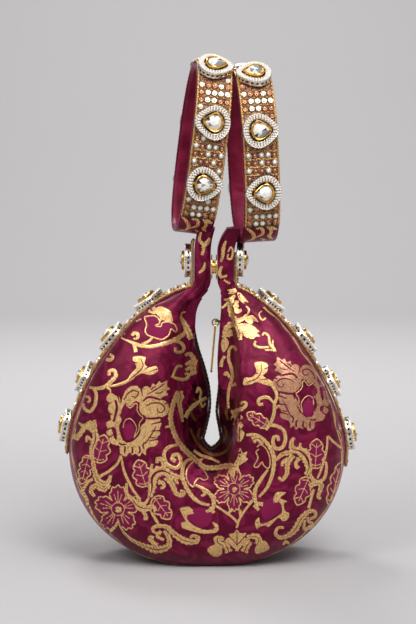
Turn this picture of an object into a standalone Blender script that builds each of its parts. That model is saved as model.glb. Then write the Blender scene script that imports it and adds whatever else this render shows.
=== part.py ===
# Embellished clutch: a stuffed crescent of brocade whose two horns meet at a magnetic snap, with a zip along
# the inside of the crescent, a jewelled trim on its outer rim and a jewelled bracelet handle on each horn.
# Metres, +Z up, the front faces -Y. The origin is the middle of the flat sole.

import math

import bmesh
import bpy
import numpy as np
from mathutils import Matrix, Vector

MM = 0.001
CLEARANCE = 0.3 * MM            # air between two pieces that touch

# Pouch, seen from the front
BELLY_HALF_WIDTH = 98 * MM
BELLY_LEVEL = 83 * MM           # height of the widest line
SHOULDER_LEVEL = 194 * MM       # height at which the horns rise from the shoulders
LOWER_FULLNESS = 2.2            # superellipse exponents of the outline below and above the widest line
UPPER_FULLNESS = 1.45
SOLE_CUT = 5 * MM               # how much of the round underside the flat sole takes away
HORN_MIDDLE = 5 * MM            # the snap's middle lies this far right of the sole's middle
HORN_REACH = 14 * MM            # from the snap's middle to the outer face of a horn
HORN_RISE = 42 * MM
LEFT_TIP_LEAN = 3 * MM          # both horn tips lean to the right
RIGHT_TIP_LEAN = 7 * MM
LEAN_START = 3 * MM             # above the snap's flange
LEAN_POWER = 1.8
CORNER_SOFTENING = 3            # rounds of smoothing on the corner between shoulder and horn

# Pouch, front to back
BELLY_HALF_DEPTH = 47 * MM
HORN_HALF_DEPTH = 14.5 * MM
RIM_HALF_WIDTH = 13.5 * MM      # the flat gusset on the outer rim
HORN_FACE_HALF_WIDTH = 10.5 * MM
MOUTH_HALF_WIDTH = 6.5 * MM     # the flat that carries the zip
LIP_SHARE = 0.70                # how far forward the rolled lip of the mouth stands
LIP_INSET = {"horn": 2 * MM, "shoulder": 4 * MM, "left": 24 * MM, "bottom": 14 * MM, "right": 13 * MM}
ZIP_SHIFT = 7 * MM              # the zip runs this far behind the middle on the left and before it on the right
ZIP_SHIFT_AT_HORN = 3.5 * MM    # and this far before it where it ends on the right horn

# Slit in the middle of the ring: height as a share from its bottom to the shoulders, then the free reach to
# the left and to the right of the snap's middle
SLIT_BOTTOM = 79.7 * MM
SLIT_SHAPE = (
    (0.985, 2.6 * MM, 2.4 * MM),
    (0.875, 12.8 * MM, 5.6 * MM),
    (0.75, 13.4 * MM, 6.0 * MM),
    (0.62, 10.6 * MM, 4.8 * MM),
    (0.49, 6.0 * MM, 3.6 * MM),
    (0.36, 2.6 * MM, 2.4 * MM),
    (0.23, 2.0 * MM, 0.9 * MM),
    (0.11, 4.8 * MM, 3.0 * MM),
    (0.035, 6.4 * MM, 3.3 * MM),
)
SLIT_BOTTOM_SHIFT = -2 * MM     # the slit's lowest point lies left of the snap's middle
WAIST_SHARE = 0.27              # height of the slit's narrowest place, level with the pouch's widest

# Zip
TAPE_HALF_WIDTH = 6.0 * MM
TAPE_THICKNESS = 0.6 * MM
CHAIN_HALF_WIDTH = 2.4 * MM
CHAIN_HEIGHT = 1.2 * MM
TOOTH_DEPTH = 0.6 * MM
TOOTH_PITCH = 3.0 * MM
SLIDER_PLACE = 0.28             # share of the way from the right shoulder down to the waist of the slit
SLIDER_LENGTH = 9 * MM
SLIDER_PLATE = 1.2 * MM
SLIDER_WALL = 1.2 * MM
SLIDER_GAP = 0.5 * MM           # running clearance round the chain
BAR_THICKNESS = 1.2 * MM
BAIL_HALF_WIDTH = 3.4 * MM
BAIL_LEG = 1.0 * MM
RING_RADIUS = 2.4 * MM          # to the middle of the wire
RING_WIRE_RADIUS = 0.5 * MM
PULL_LENGTH = 35 * MM
PULL_WIDTH = 7 * MM
PULL_NECK_WIDTH = 4.2 * MM
PULL_THICKNESS = 1.4 * MM
PULL_HOLE_RADIUS = 1.3 * MM
PULL_LEAN = math.radians(5)     # the pull leans along the wall of the slit

# Magnetic snap, axis along X
SNAP_LEVEL = 208 * MM
SNAP_FLANGE_RADIUS = 9 * MM
SNAP_FLANGE = 0.8 * MM
SNAP_MARGIN = 1 * MM            # flat horn face left round the flange
SNAP_HUB_RADIUS = 5 * MM
SOCKET_HUB = 1.5 * MM
STUD_HUB = 0.7 * MM
STUD_RADIUS = 2.8 * MM
STUD_LENGTH = 1.2 * MM

# Handles: closed bracelets, axis along X, standing on the horn tips
HANDLE_HEIGHT = 119 * MM
HANDLE_DEPTH = 72 * MM
HANDLE_FULLNESS = 2.4
BAND_WIDTH = 25 * MM
BAND_THICKNESS = 3.0 * MM
BAND_CORNER = 0.9 * MM
LINING_WIDTH = 23 * MM
LINING_THICKNESS = 0.8 * MM
HANDLES = {
    "left": {"foot": (-11.5 * MM, 0, 232 * MM), "lean": math.radians(7.2), "turn": math.radians(8)},
    "right": {"foot": (35 * MM, 0, 226 * MM), "lean": math.radians(-2.8), "turn": math.radians(8)},
}

# Jewelled trim
TRIM_WIDTH = 24 * MM
TRIM_THICKNESS = 1.0 * MM
TRIM_COLUMNS = 4
BEAD_PITCH = 6.4 * MM
BEAD_HEIGHT = 1.6 * MM
BEAD_INSET = 0.9 * MM
TRIM_TOP_MARGIN = {"left": 9 * MM, "right": 20 * MM}    # bare cloth below the horn's tip
TRIM_END_LEVEL = {"left": 77 * MM, "right": 68 * MM}
HANDLE_BARE_REACH = 43 * MM     # along the band from its lowest point to the trim's end

# Medallions
MEDALLION_LENGTH = 24.5 * MM    # across the band, along the drop's axis
MEDALLION_WIDTH = 26 * MM       # along the band
DROP_POINT = 0.42               # how much the drop narrows towards its tip
MEDALLION_SIDES = 10
WALL_HEIGHT = 4.6 * MM
BEZEL_HEIGHT = 7.0 * MM
GROOVE_FLOOR = 3.0 * MM
SEAT_FLOOR = 5.0 * MM
HALO_TOP_SHARE = 0.95
HALO_INNER_SHARE = 0.78
GROOVE_SHARE = 0.69
BEZEL_SHARE = 0.62
SEAT_SHARE = 0.52
STONE_RISE = 1.8 * MM           # table of the stone above the bezel
TABLE_SHARE = 0.26
HANDLE_MEDALLIONS = (19 * MM, 60 * MM, 101 * MM)    # along the band, each way from the crest
RIM_SEAT_GAP = 0.6 * MM         # under a setting on the rim
RIM_MEDALLIONS = {              # along the rim from the corner of horn and shoulder, upwards negative
    "left": (-18 * MM, 31 * MM, 67 * MM, 101 * MM, 137 * MM),
    "right": (-19.8 * MM, 24 * MM, 59 * MM, 95 * MM, 133 * MM),
}

SIDES = {"left": -1, "right": 1}
HORN_TIP_LEVEL = SHOULDER_LEVEL + HORN_RISE
SNAP_GAP = 2 * SNAP_FLANGE + SOCKET_HUB + STUD_HUB + 3 * CLEARANCE
ZIP_STACK = TAPE_THICKNESS + CHAIN_HEIGHT + 2 * CLEARANCE
TRIM_FLOOR = CLEARANCE + 0.1 * MM
TRIM_TOP = TRIM_FLOOR + TRIM_THICKNESS
STATIONS_PER_SPAN = (6, 12, 8, 8, 12, 6)     # tip, shoulder, widest point, bottom and back up
SECTION_POINTS = 12             # from the rim to the mouth, on one face
HORN_FACE_POINTS = 6
STATIONS_BELOW_OPEN = 2         # between the slit's waist and the lowest place of the slider
RING_STEPS = 48                 # round a handle


def material(name, colour, roughness, metallic=0.0):
    found = bpy.data.materials.get(name)
    if found:
        return found
    made = bpy.data.materials.new(name)
    made.use_nodes = True
    made.diffuse_color = (*colour, 1)
    shader = made.node_tree.nodes["Principled BSDF"]
    shader.inputs["Base Color"].default_value = (*colour, 1)
    shader.inputs["Roughness"].default_value = roughness
    shader.inputs["Metallic"].default_value = metallic
    return made


def brocade():
    return material("brocade", (0.22, 0.02, 0.075), 0.5)


def satin():
    return material("satin", (0.27, 0.02, 0.06), 0.35)


def trim_cloth():
    return material("trim_cloth", (0.55, 0.30, 0.15), 0.5)


def zip_cloth():
    return material("zip_cloth", (0.10, 0.02, 0.03), 0.7)


def gold():
    return material("gold", (0.83, 0.58, 0.22), 0.25, 1.0)


def silver():
    return material("silver", (0.85, 0.84, 0.80), 0.25, 1.0)


def crystal():
    return material("crystal", (0.90, 0.92, 0.94), 0.05)


def add_object(name, bm, made_of, round_shape=True, place=Matrix()):
    bmesh.ops.remove_doubles(bm, verts=bm.verts, dist=0.001 * MM)
    bmesh.ops.recalc_face_normals(bm, faces=bm.faces)
    mesh = bpy.data.meshes.new(name)
    bm.to_mesh(mesh)
    bm.free()
    mesh.materials.append(made_of)
    if round_shape:
        mesh.shade_smooth()
        mesh.set_sharp_from_angle(angle=math.radians(35))
    piece = bpy.data.objects.new(name, mesh)
    piece.matrix_world = place
    bpy.context.collection.objects.link(piece)
    return piece


def add_copy(name, mesh, place):
    piece = bpy.data.objects.new(name, mesh)
    piece.matrix_world = place
    bpy.context.collection.objects.link(piece)
    return piece


def add_boolean(piece, other, operation):
    other.hide_render = True
    other.display_type = "WIRE"
    step = piece.modifiers.new(other.name, "BOOLEAN")
    step.operation = operation
    step.object = other
    step.solver = "EXACT"


def smooth_through(knots, steps=10):
    # a Catmull-Rom curve through the knots
    knots = np.asarray(knots, float)
    padded = np.vstack([2 * knots[0] - knots[1], knots, 2 * knots[-1] - knots[-2]])
    shares = np.linspace(0, 1, steps, endpoint=False)[:, None]
    spans = []
    for index in range(len(knots) - 1):
        before, start, end, after = padded[index:index + 4]
        spans.append(0.5 * (2 * start + (end - before) * shares
                            + (2 * before - 5 * start + 4 * end - after) * shares ** 2
                            + (3 * start - before - 3 * end + after) * shares ** 3))
    return np.vstack(spans + [knots[-1:]])


class Line:
    # a polyline that gives its points by distance along it
    def __init__(self, points):
        self.points = np.asarray(points, float)
        steps = np.linalg.norm(np.diff(self.points, axis=0), axis=1)
        self.reached = np.concatenate([[0], np.cumsum(steps)])
        self.length = self.reached[-1]

    def at(self, distance):
        return np.array([np.interp(distance, self.reached, column) for column in self.points.T]).T

    def near(self, point):
        return self.reached[np.argmin(np.linalg.norm(self.points - np.asarray(point), axis=1))]


def superellipse(share, exponent):
    # both coordinates of a quarter outline, from (1, 0) to (0, 1)
    angle = share * math.pi / 2
    return max(math.cos(angle), 0) ** (2 / exponent), max(math.sin(angle), 0) ** (2 / exponent)


def tip_lean(level, side):
    # how far a horn leans to the right at this height
    lean = LEFT_TIP_LEAN if side == "left" else RIGHT_TIP_LEAN
    start = SNAP_LEVEL + SNAP_FLANGE_RADIUS + LEAN_START
    share = min(max((level - start) / (HORN_TIP_LEVEL - start), 0), 1)
    return lean * share ** LEAN_POWER


def outer_half(side):
    # one half of the outer outline, (x, z) from the horn's tip down to the middle of the underside
    sign = SIDES[side]
    horn = HORN_MIDDLE + sign * HORN_REACH
    points = []
    for level in np.linspace(HORN_TIP_LEVEL, SHOULDER_LEVEL, 24, endpoint=False):
        points.append((horn + tip_lean(level, side), level))
    for share in np.linspace(1, 0, 60, endpoint=False):
        across, up = superellipse(share, UPPER_FULLNESS)
        points.append((horn + (sign * BELLY_HALF_WIDTH - horn) * across,
                       BELLY_LEVEL + (SHOULDER_LEVEL - BELLY_LEVEL) * up))
    for share in np.linspace(0, 1, 60):
        across, down = superellipse(share, LOWER_FULLNESS)
        points.append((sign * BELLY_HALF_WIDTH * across, BELLY_LEVEL - (BELLY_LEVEL + SOLE_CUT) * down))
    return points


def outer_line():
    # the whole outer outline, from the left tip round to the right tip, with its corners softened
    rough = Line(outer_half("left") + outer_half("right")[::-1][1:])
    points = rough.at(np.linspace(0, rough.length, int(rough.length / (2 * MM))))
    for _ in range(CORNER_SOFTENING):
        points[1:-1] = (points[:-2] + 2 * points[1:-1] + points[2:]) / 4
    return Line(points)


def inner_half(side):
    # one half of the mouth line, (x, z) from the horn's tip down to the last point beside the slit's bottom
    sign = SIDES[side]
    face = HORN_MIDDLE + sign * SNAP_GAP / 2
    tops = np.linspace(HORN_TIP_LEVEL, SNAP_LEVEL - SNAP_FLANGE_RADIUS - SNAP_MARGIN, HORN_FACE_POINTS)
    points = [(face + tip_lean(level, side), level) for level in tops]
    for share, left_reach, right_reach in SLIT_SHAPE:
        reach = (left_reach if side == "left" else right_reach) + ZIP_STACK
        points.append((HORN_MIDDLE + sign * reach, SLIT_BOTTOM + share * (SHOULDER_LEVEL - SLIT_BOTTOM)))
    return points


def inner_line():
    bottom = [(HORN_MIDDLE + SLIT_BOTTOM_SHIFT, SLIT_BOTTOM - ZIP_STACK)]
    return Line(smooth_through(inner_half("left") + bottom + inner_half("right")[::-1]))


def spread(knots):
    # values through the knots, with the pouch's count of stations in each span
    values = [np.linspace(start, end, count, endpoint=False)
              for start, end, count in zip(knots, knots[1:], STATIONS_PER_SPAN)]
    return np.concatenate(values + [knots[-1:]])


def between_knots(values, quickness=1.0):
    # eases from knot to knot along the pouch: tip, shoulder, widest point, bottom and back up
    place = spread(list(range(len(values))))
    index = np.minimum(place.astype(int), len(values) - 2)
    share = place - index
    if quickness != 1.0:
        rising = (index == 0) | (index == 1)
        share = np.where(rising, share ** quickness, 1 - (1 - share) ** quickness)
    share = share * share * (3 - 2 * share)
    values = np.asarray(values, float)
    return values[index] * (1 - share) + values[index + 1] * share


def section(width, depth, face, lip, shift):
    # a closed loop round the stuffed tube: (distance in from the rim, y), from the rim's front corner
    lip_depth = face + LIP_SHARE * (depth - face)
    fall = depth - RIM_HALF_WIDTH
    apex = 0.5 * (width - lip)
    knots = [
        (0, RIM_HALF_WIDTH),
        (0.05 * width, RIM_HALF_WIDTH + 0.50 * fall),
        (0.17 * width, RIM_HALF_WIDTH + 0.82 * fall),
        (0.33 * width, RIM_HALF_WIDTH + 0.97 * fall),
        (max(apex, 0.42 * width), depth),
        (width - 1.45 * lip, depth - 0.22 * (depth - lip_depth)),
        (width - lip, lip_depth),
        (width - 0.80 * lip, face + 0.66 * (lip_depth - face)),
        (width - 0.40 * lip, face + 0.28 * (lip_depth - face)),
        (width, face),
    ]
    if width - 1.45 * lip < 0.5 * width:
        del knots[5]
    curve = Line(smooth_through(knots, 6))
    half = curve.at(np.linspace(0, curve.length, SECTION_POINTS))
    sway = shift * (half[:, 0] / width) ** 4
    front = [(u, -y + s) for (u, y), s in zip(half, sway)]
    back = [(u, y + s) for (u, y), s in zip(half, sway)]
    return front + [(width, shift)] + back[::-1] + [(0, 0)]


def pouch_stations():
    # matched points of the outer outline and the mouth line, the zip's sideways shift, and each section's sizes
    outer, inner = outer_line(), inner_line()
    knots = [0]
    mouth_knots = [0]
    for side in ("left", "right"):
        sign = SIDES[side]
        corner = (HORN_MIDDLE + sign * HORN_REACH, SHOULDER_LEVEL)
        widest = (sign * BELLY_HALF_WIDTH, BELLY_LEVEL)
        top = inner_half(side)[HORN_FACE_POINTS]
        level = SLIT_BOTTOM + WAIST_SHARE * (SHOULDER_LEVEL - SLIT_BOTTOM)
        pinch = (HORN_MIDDLE + sign * ZIP_STACK, level)
        pair = [(outer.near(corner), inner.near(top)), (outer.near(widest), inner.near(pinch))]
        if side == "right":
            pair.reverse()
            knots.append(outer.near((0, -SOLE_CUT)))
            mouth_knots.append(inner.near((HORN_MIDDLE + SLIT_BOTTOM_SHIFT, SLIT_BOTTOM - ZIP_STACK)))
        knots += [distances[0] for distances in pair]
        mouth_knots += [distances[1] for distances in pair]
    knots.append(outer.length)
    mouth_knots.append(inner.length)
    rim = outer.at(spread(knots))
    mouth = inner.at(spread(mouth_knots))
    lips = LIP_INSET
    sizes = {
        "depth": between_knots([HORN_HALF_DEPTH, HORN_HALF_DEPTH, BELLY_HALF_DEPTH, BELLY_HALF_DEPTH,
                                BELLY_HALF_DEPTH, HORN_HALF_DEPTH, HORN_HALF_DEPTH], 0.7),
        "face": between_knots([HORN_FACE_HALF_WIDTH, HORN_FACE_HALF_WIDTH, MOUTH_HALF_WIDTH, MOUTH_HALF_WIDTH,
                               MOUTH_HALF_WIDTH, HORN_FACE_HALF_WIDTH, HORN_FACE_HALF_WIDTH]),
        "lip": between_knots([lips["horn"], lips["shoulder"], lips["left"], lips["bottom"], lips["right"],
                              lips["shoulder"], lips["horn"]]),
        "shift": between_knots([0, 0, ZIP_SHIFT, 0, -ZIP_SHIFT, -ZIP_SHIFT_AT_HORN, 0]),
    }
    return rim, mouth, sizes


def make_pouch(rim, mouth, sizes):
    bm = bmesh.new()
    loops = []
    for index, (start, end) in enumerate(zip(rim, mouth)):
        width = np.linalg.norm(end - start)
        inward = (end - start) / width
        loop = section(width, *(sizes[key][index] for key in ("depth", "face", "lip", "shift")))
        verts = []
        for distance, y in loop:
            x, z = start + inward * distance
            verts.append(bm.verts.new((x, y, max(z, 0))))
        loops.append(verts)
    for before, after in zip(loops, loops[1:]):
        for index in range(len(before)):
            following = (index + 1) % len(before)
            bm.faces.new((before[index], before[following], after[following], after[index]))
    bm.faces.new(loops[0][::-1])
    bm.faces.new(loops[-1])
    pouch = add_object("pouch_body", bm, brocade())
    for side in SIDES:
        add_boolean(pouch, handle_cutter(side), "DIFFERENCE")
    return pouch


def line_normals(points, flip=1):
    # unit normals of a polyline in XZ, stretched so that an offset line keeps its distance at each bend
    steps = np.diff(points, axis=0)
    steps /= np.linalg.norm(steps, axis=1)[:, None]
    before = np.vstack([steps[:1], steps])
    after = np.vstack([steps, steps[-1:]])
    tangent = before + after
    tangent /= np.linalg.norm(tangent, axis=1)[:, None]
    stretch = 1 / np.maximum(np.sum(tangent * after, axis=1), 0.5)
    return np.stack([tangent[:, 1], -tangent[:, 0]], axis=1) * (flip * stretch)[:, None]


def make_strip(name, rows, columns, made_of, raised=None):
    # rows holds, for each step along the strip, its floor's middle, its roof's middle and its half-width vector
    bm = bmesh.new()
    roof, floor = [], []
    for low, high, reach in rows:
        roof.append([bm.verts.new(high + reach * share) for share in np.linspace(-1, 1, columns + 1)])
        floor.append([bm.verts.new(low - reach), bm.verts.new(low + reach)])
    cells = {}
    for row in range(len(rows) - 1):
        for column in range(columns):
            corners = (roof[row][column], roof[row][column + 1], roof[row + 1][column + 1], roof[row + 1][column])
            cells[row, column] = bm.faces.new(corners)
        bm.faces.new((floor[row][1], floor[row][0], floor[row + 1][0], floor[row + 1][1]))
        bm.faces.new((floor[row][0], roof[row][0], roof[row + 1][0], floor[row + 1][0]))
        bm.faces.new((roof[row][-1], floor[row][1], floor[row + 1][1], roof[row + 1][-1]))
    bm.faces.new(floor[0] + roof[0][::-1])
    bm.faces.new((floor[-1] + roof[-1][::-1])[::-1])
    bmesh.ops.recalc_face_normals(bm, faces=bm.faces)
    if raised:
        faces = [face for (row, column), face in cells.items() if raised(row, column)]
        bmesh.ops.inset_individual(bm, faces=faces, thickness=BEAD_INSET, depth=0)
        bmesh.ops.inset_individual(bm, faces=faces, thickness=BEAD_INSET / 2, depth=BEAD_HEIGHT)
    return add_object(name, bm, made_of, round_shape=False)


def bead_rows(start, end):
    # distances of the trim's rows, a bead's pitch apart
    count = max(int(round((end - start) / BEAD_PITCH)), 1)
    return np.linspace(start, end, count + 1)


def keeps_clear(distances, medallions):
    # which cells carry a bead: all but those under a medallion
    reach = MEDALLION_WIDTH / 2 + 0.5 * BEAD_PITCH - BEAD_INSET + CLEARANCE
    middles = (distances[:-1] + distances[1:]) / 2
    free = [all(abs(middle - place) > reach for place in medallions) for middle in middles]
    return lambda row, column: free[row]


def medallion_place(position, across, along, outward, flipped):
    # the medallion's own axes: x along the drop towards its tip, y along the band, z outwards
    sign = -1 if flipped else 1
    frame = Matrix((Vector(across) * sign, Vector(along) * sign, Vector(outward))).transposed().to_4x4()
    frame.translation = Vector(position)
    return frame


def make_rim_trims(rim):
    # the jewelled trim on each side's outer rim, and where its medallions stand
    half = len(rim) // 2
    floor = rim + line_normals(rim, 1) * TRIM_FLOOR
    roof = rim + line_normals(rim, 1) * TRIM_TOP
    places = []
    for side, sign in SIDES.items():
        picked = slice(0, half + 1) if side == "left" else slice(None, half - 1, -1)
        lines = Line(rim[picked]), Line(floor[picked]), Line(roof[picked])
        corner = lines[0].near((HORN_MIDDLE + sign * HORN_REACH, SHOULDER_LEVEL))
        lower = lines[0].points[:, 1]
        end = np.interp(-TRIM_END_LEVEL[side], -lower, lines[0].reached)
        distances = bead_rows(TRIM_TOP_MARGIN[side], end)
        rows = []
        for distance in distances:
            share = distance / lines[0].length
            low, high = (lines[index].at(share * lines[index].length) for index in (1, 2))
            rows.append((Vector((low[0], 0, low[1])), Vector((high[0], 0, high[1])),
                         Vector((0, TRIM_WIDTH / 2, 0))))
        middles = [corner + reach for reach in RIM_MEDALLIONS[side]]
        make_strip(f"{side}_side_trim", rows, TRIM_COLUMNS, trim_cloth(), keeps_clear(distances, middles))
        for index, distance in enumerate(middles):
            share = distance / lines[0].length
            seat = lines[2].at(share * lines[2].length)
            ahead = lines[2].at(share * lines[2].length + 4 * MM)
            behind = lines[2].at(share * lines[2].length - 4 * MM)
            along = Vector((ahead[0] - behind[0], 0, ahead[1] - behind[1])).normalized()
            across = Vector((0, 1, 0))
            outward = across.cross(along).normalized() * -1
            if outward.x * sign < 0:
                outward.negate()
            along = outward.cross(across)
            position = Vector((seat[0], 0, seat[1])) + outward * RIM_SEAT_GAP
            places.append((f"{side}_side_{index + 1}", medallion_place(position, across, along, outward,
                                                                       index % 2 == 1)))
    return places


def handle_frame(side):
    sizes = HANDLES[side]
    turn = Matrix.Rotation(sizes["turn"], 4, "Z") @ Matrix.Rotation(sizes["lean"], 4, "Y")
    return Matrix.Translation(sizes["foot"]) @ turn


def handle_outline(count, grown=0.0):
    # the bracelet's outer outline as (y, z) from its lowest point, round the front and over the crest
    points = []
    for index in range(count):
        angle = 2 * math.pi * index / count - math.pi / 2
        along, up = math.cos(angle), math.sin(angle)
        power = 2 / HANDLE_FULLNESS
        y = -math.copysign(abs(along) ** power, along) * (HANDLE_DEPTH / 2 + grown)
        z = math.copysign(abs(up) ** power, up) * (HANDLE_HEIGHT / 2 + grown) + HANDLE_HEIGHT / 2
        points.append((y, z))
    return np.array(points)


def handle_cutter(side):
    # the space that the bracelet's foot takes out of the horn's tip
    bm = bmesh.new()
    outline = handle_outline(RING_STEPS, CLEARANCE)
    reach = BAND_WIDTH / 2 + CLEARANCE
    ends = [[bm.verts.new((x, y, z)) for y, z in outline] for x in (-reach, reach)]
    for index in range(len(outline)):
        following = (index + 1) % len(outline)
        bm.faces.new((ends[0][index], ends[0][following], ends[1][following], ends[1][index]))
    bm.faces.new(ends[0][::-1])
    bm.faces.new(ends[1])
    return add_object(f"{side}_handle_space", bm, brocade(), False, handle_frame(side))


def even_ring(count):
    # the bracelet's outline at even steps, each with its outward normal, both as (y, z)
    fine = handle_outline(720)
    closed = Line(np.vstack([fine, fine[:1]]))
    points = closed.at(np.arange(count) / count * closed.length)
    ahead = closed.at((np.arange(count) / count * closed.length + 0.5 * MM) % closed.length)
    tangent = ahead - points
    tangent /= np.linalg.norm(tangent, axis=1)[:, None]
    return points, np.stack([-tangent[:, 1], tangent[:, 0]], axis=1), closed


def make_ring(name, outline, made_of, side):
    # sweeps a flat section round the bracelet; outline holds (x across the band, height above its outer face)
    bm = bmesh.new()
    points, normals, _ = even_ring(RING_STEPS)
    loops = []
    for point, normal in zip(points, normals):
        loops.append([bm.verts.new((x, *(point + normal * height))) for x, height in outline])
    for index, loop in enumerate(loops):
        after = loops[(index + 1) % len(loops)]
        for corner in range(len(loop)):
            following = (corner + 1) % len(loop)
            bm.faces.new((loop[corner], loop[following], after[following], after[corner]))
    return add_object(name, bm, made_of, True, handle_frame(side))


def make_handle(side):
    # band, satin lining and jewelled trim of one bracelet, and where its medallions stand
    half, corner = BAND_WIDTH / 2, BAND_CORNER
    depth = BAND_THICKNESS
    band = [(-half + corner, 0), (-half, -corner), (-half, -depth + corner), (-half + corner, -depth),
            (half - corner, -depth), (half, -depth + corner), (half, -corner), (half - corner, 0)]
    make_ring(f"{side}_handle_band", band, brocade(), side)
    low, high = -depth - CLEARANCE - LINING_THICKNESS, -depth - CLEARANCE
    half = LINING_WIDTH / 2
    make_ring(f"{side}_handle_lining", [(-half, high), (-half, low), (half, low), (half, high)], satin(), side)

    closed = even_ring(1)[2]
    middle = closed.length / 2
    distances = bead_rows(HANDLE_BARE_REACH, closed.length - HANDLE_BARE_REACH)
    medallions = sorted([middle + sign * reach for reach in HANDLE_MEDALLIONS for sign in (-1, 1)])
    frame = handle_frame(side)

    def ring_frame(distance):
        point = closed.at(distance)
        tangent = closed.at(distance + 0.5 * MM) - closed.at(distance - 0.5 * MM)
        tangent /= np.linalg.norm(tangent)
        return point, np.array([-tangent[1], tangent[0]])

    rows = []
    for distance in distances:
        point, normal = ring_frame(distance)
        low, high = point + normal * TRIM_FLOOR, point + normal * TRIM_TOP
        reach = frame.to_3x3() @ Vector((TRIM_WIDTH / 2, 0, 0))
        rows.append((frame @ Vector((0, *low)), frame @ Vector((0, *high)), reach))
    make_strip(f"{side}_handle_trim", rows, TRIM_COLUMNS, trim_cloth(), keeps_clear(distances, medallions))

    places = []
    names = ("front_low", "front_mid", "front_top", "back_top", "back_mid", "back_low")
    first_tip = 1 if side == "left" else -1
    for index, (label, distance) in enumerate(zip(names, medallions)):
        point, normal = ring_frame(distance)
        position = point + normal * (TRIM_TOP + CLEARANCE)
        outward = Vector((0, *normal))
        across = Vector((1, 0, 0))
        place = medallion_place((0, *position), across, outward.cross(across), outward,
                                (index % 2 == 0) == (first_tip < 0))
        places.append((f"{side}_{label}", frame @ place))
    return places


def drop(angle, share):
    # a point of the drop outline at this share of the medallion's size
    x = math.cos(angle) * MEDALLION_LENGTH / 2
    y = math.sin(angle) * MEDALLION_WIDTH / 2
    narrowing = 1 - DROP_POINT * math.cos(angle / 2) ** 4
    return x * share, y * narrowing * share


def make_drop_solid(name, profile, made_of):
    # stacks drop outlines; profile holds (share of the outline, height) from the underside to the middle
    bm = bmesh.new()
    angles = [2 * math.pi * index / MEDALLION_SIDES for index in range(MEDALLION_SIDES)]
    loops = [[bm.verts.new((*drop(angle, share), height)) for angle in angles] for share, height in profile]
    for before, after in zip(loops, loops[1:]):
        for index in range(MEDALLION_SIDES):
            following = (index + 1) % MEDALLION_SIDES
            bm.faces.new((before[index], before[following], after[following], after[index]))
    bm.faces.new(loops[0][::-1])
    bm.faces.new(loops[-1])
    bmesh.ops.recalc_face_normals(bm, faces=bm.faces)
    mesh = bpy.data.meshes.new(name)
    bm.to_mesh(mesh)
    bm.free()
    mesh.materials.append(made_of)
    return mesh


def make_medallions(places):
    setting = make_drop_solid("setting", [
        (1.0, 0), (1.0, WALL_HEIGHT - 0.6 * MM), (HALO_TOP_SHARE, WALL_HEIGHT), (HALO_INNER_SHARE, WALL_HEIGHT),
        (GROOVE_SHARE, GROOVE_FLOOR), (BEZEL_SHARE, BEZEL_HEIGHT), (SEAT_SHARE, BEZEL_HEIGHT),
        (SEAT_SHARE, SEAT_FLOOR)], silver())
    stone_share = SEAT_SHARE - 2 * CLEARANCE / MEDALLION_LENGTH * 1.4
    stone = make_drop_solid("stone", [
        (stone_share, SEAT_FLOOR + CLEARANCE), (stone_share, BEZEL_HEIGHT),
        (TABLE_SHARE, BEZEL_HEIGHT + STONE_RISE)], crystal())
    for label, place in places:
        add_copy(f"{label}_setting", setting, place)
        add_copy(f"{label}_stone", stone, place)


def zip_rows(mouth, shift, low, high, half_width, first, last):
    # strip rows on the mouth line from one station to another
    lift = line_normals(mouth, -1)
    rows = []
    for index in range(first, last + 1):
        floor, roof = (mouth[index] + lift[index] * height for height in (low, high))
        rows.append((Vector((floor[0], shift[index], floor[1])), Vector((roof[0], shift[index], roof[1])),
                     Vector((0, half_width, 0))))
    return rows


def make_zip(mouth, sizes):
    # tape and chain along the mouth; returns the slider's place on the chain and the way it travels
    shift = sizes["shift"]
    shoulders = [STATIONS_PER_SPAN[0], len(mouth) - 1 - STATIONS_PER_SPAN[-1]]
    tape_top = CLEARANCE + TAPE_THICKNESS
    chain_floor, chain_top = tape_top + CLEARANCE, ZIP_STACK
    make_strip("zip_tape", zip_rows(mouth, shift, CLEARANCE, tape_top, TAPE_HALF_WIDTH, *shoulders), 1,
               zip_cloth())

    slider_station = shoulders[1] - SLIDER_PLACE * STATIONS_PER_SPAN[-2]
    open_station = shoulders[1] - STATIONS_PER_SPAN[-2] + STATIONS_BELOW_OPEN
    end = int(math.ceil(slider_station)) + 1
    coarse = zip_rows(mouth, shift, chain_floor, chain_top, CHAIN_HALF_WIDTH, shoulders[0] + 1, end)
    teeth = []
    for before, after in zip(coarse, coarse[1:]):
        count = 2 * max(int(round((after[1] - before[1]).length / TOOTH_PITCH)), 1)
        for step in range(count):
            share = step / count
            low, high = (before[part].lerp(after[part], share) for part in (0, 1))
            if step % 2:
                high = high + (low - high).normalized() * TOOTH_DEPTH
            teeth.append((low, high, before[2]))
    teeth.append(coarse[-1])
    make_strip("zip_chain", teeth, 1, gold())

    stations = np.arange(len(mouth))
    lift = line_normals(mouth, -1)

    def chain_point(station):
        x, z = (np.interp(station, stations, (mouth + lift * chain_top)[:, axis]) for axis in (0, 1))
        return Vector((x, np.interp(station, stations, shift), z))

    rest = chain_point(slider_station)
    travel = (rest - chain_point(open_station)).normalized()
    return rest, travel


def extruded(outline, start, end):
    # a prism with this (x, y) outline between two heights
    bm = bmesh.new()
    ends = [[bm.verts.new((x, y, z)) for x, y in outline] for z in (start, end)]
    for index in range(len(outline)):
        following = (index + 1) % len(outline)
        bm.faces.new((ends[0][index], ends[0][following], ends[1][following], ends[1][index]))
    bm.faces.new(ends[0][::-1])
    bm.faces.new(ends[1])
    return bm


def slider_frame(rest, travel):
    # z up the chain, x away from the chain into the wall, y across it
    up = travel
    across = Vector((0, 1, 0))
    across = (across - up * across.dot(up)).normalized()
    frame = Matrix((across.cross(up), across, up)).transposed().to_4x4()
    frame.translation = rest
    return frame


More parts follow.
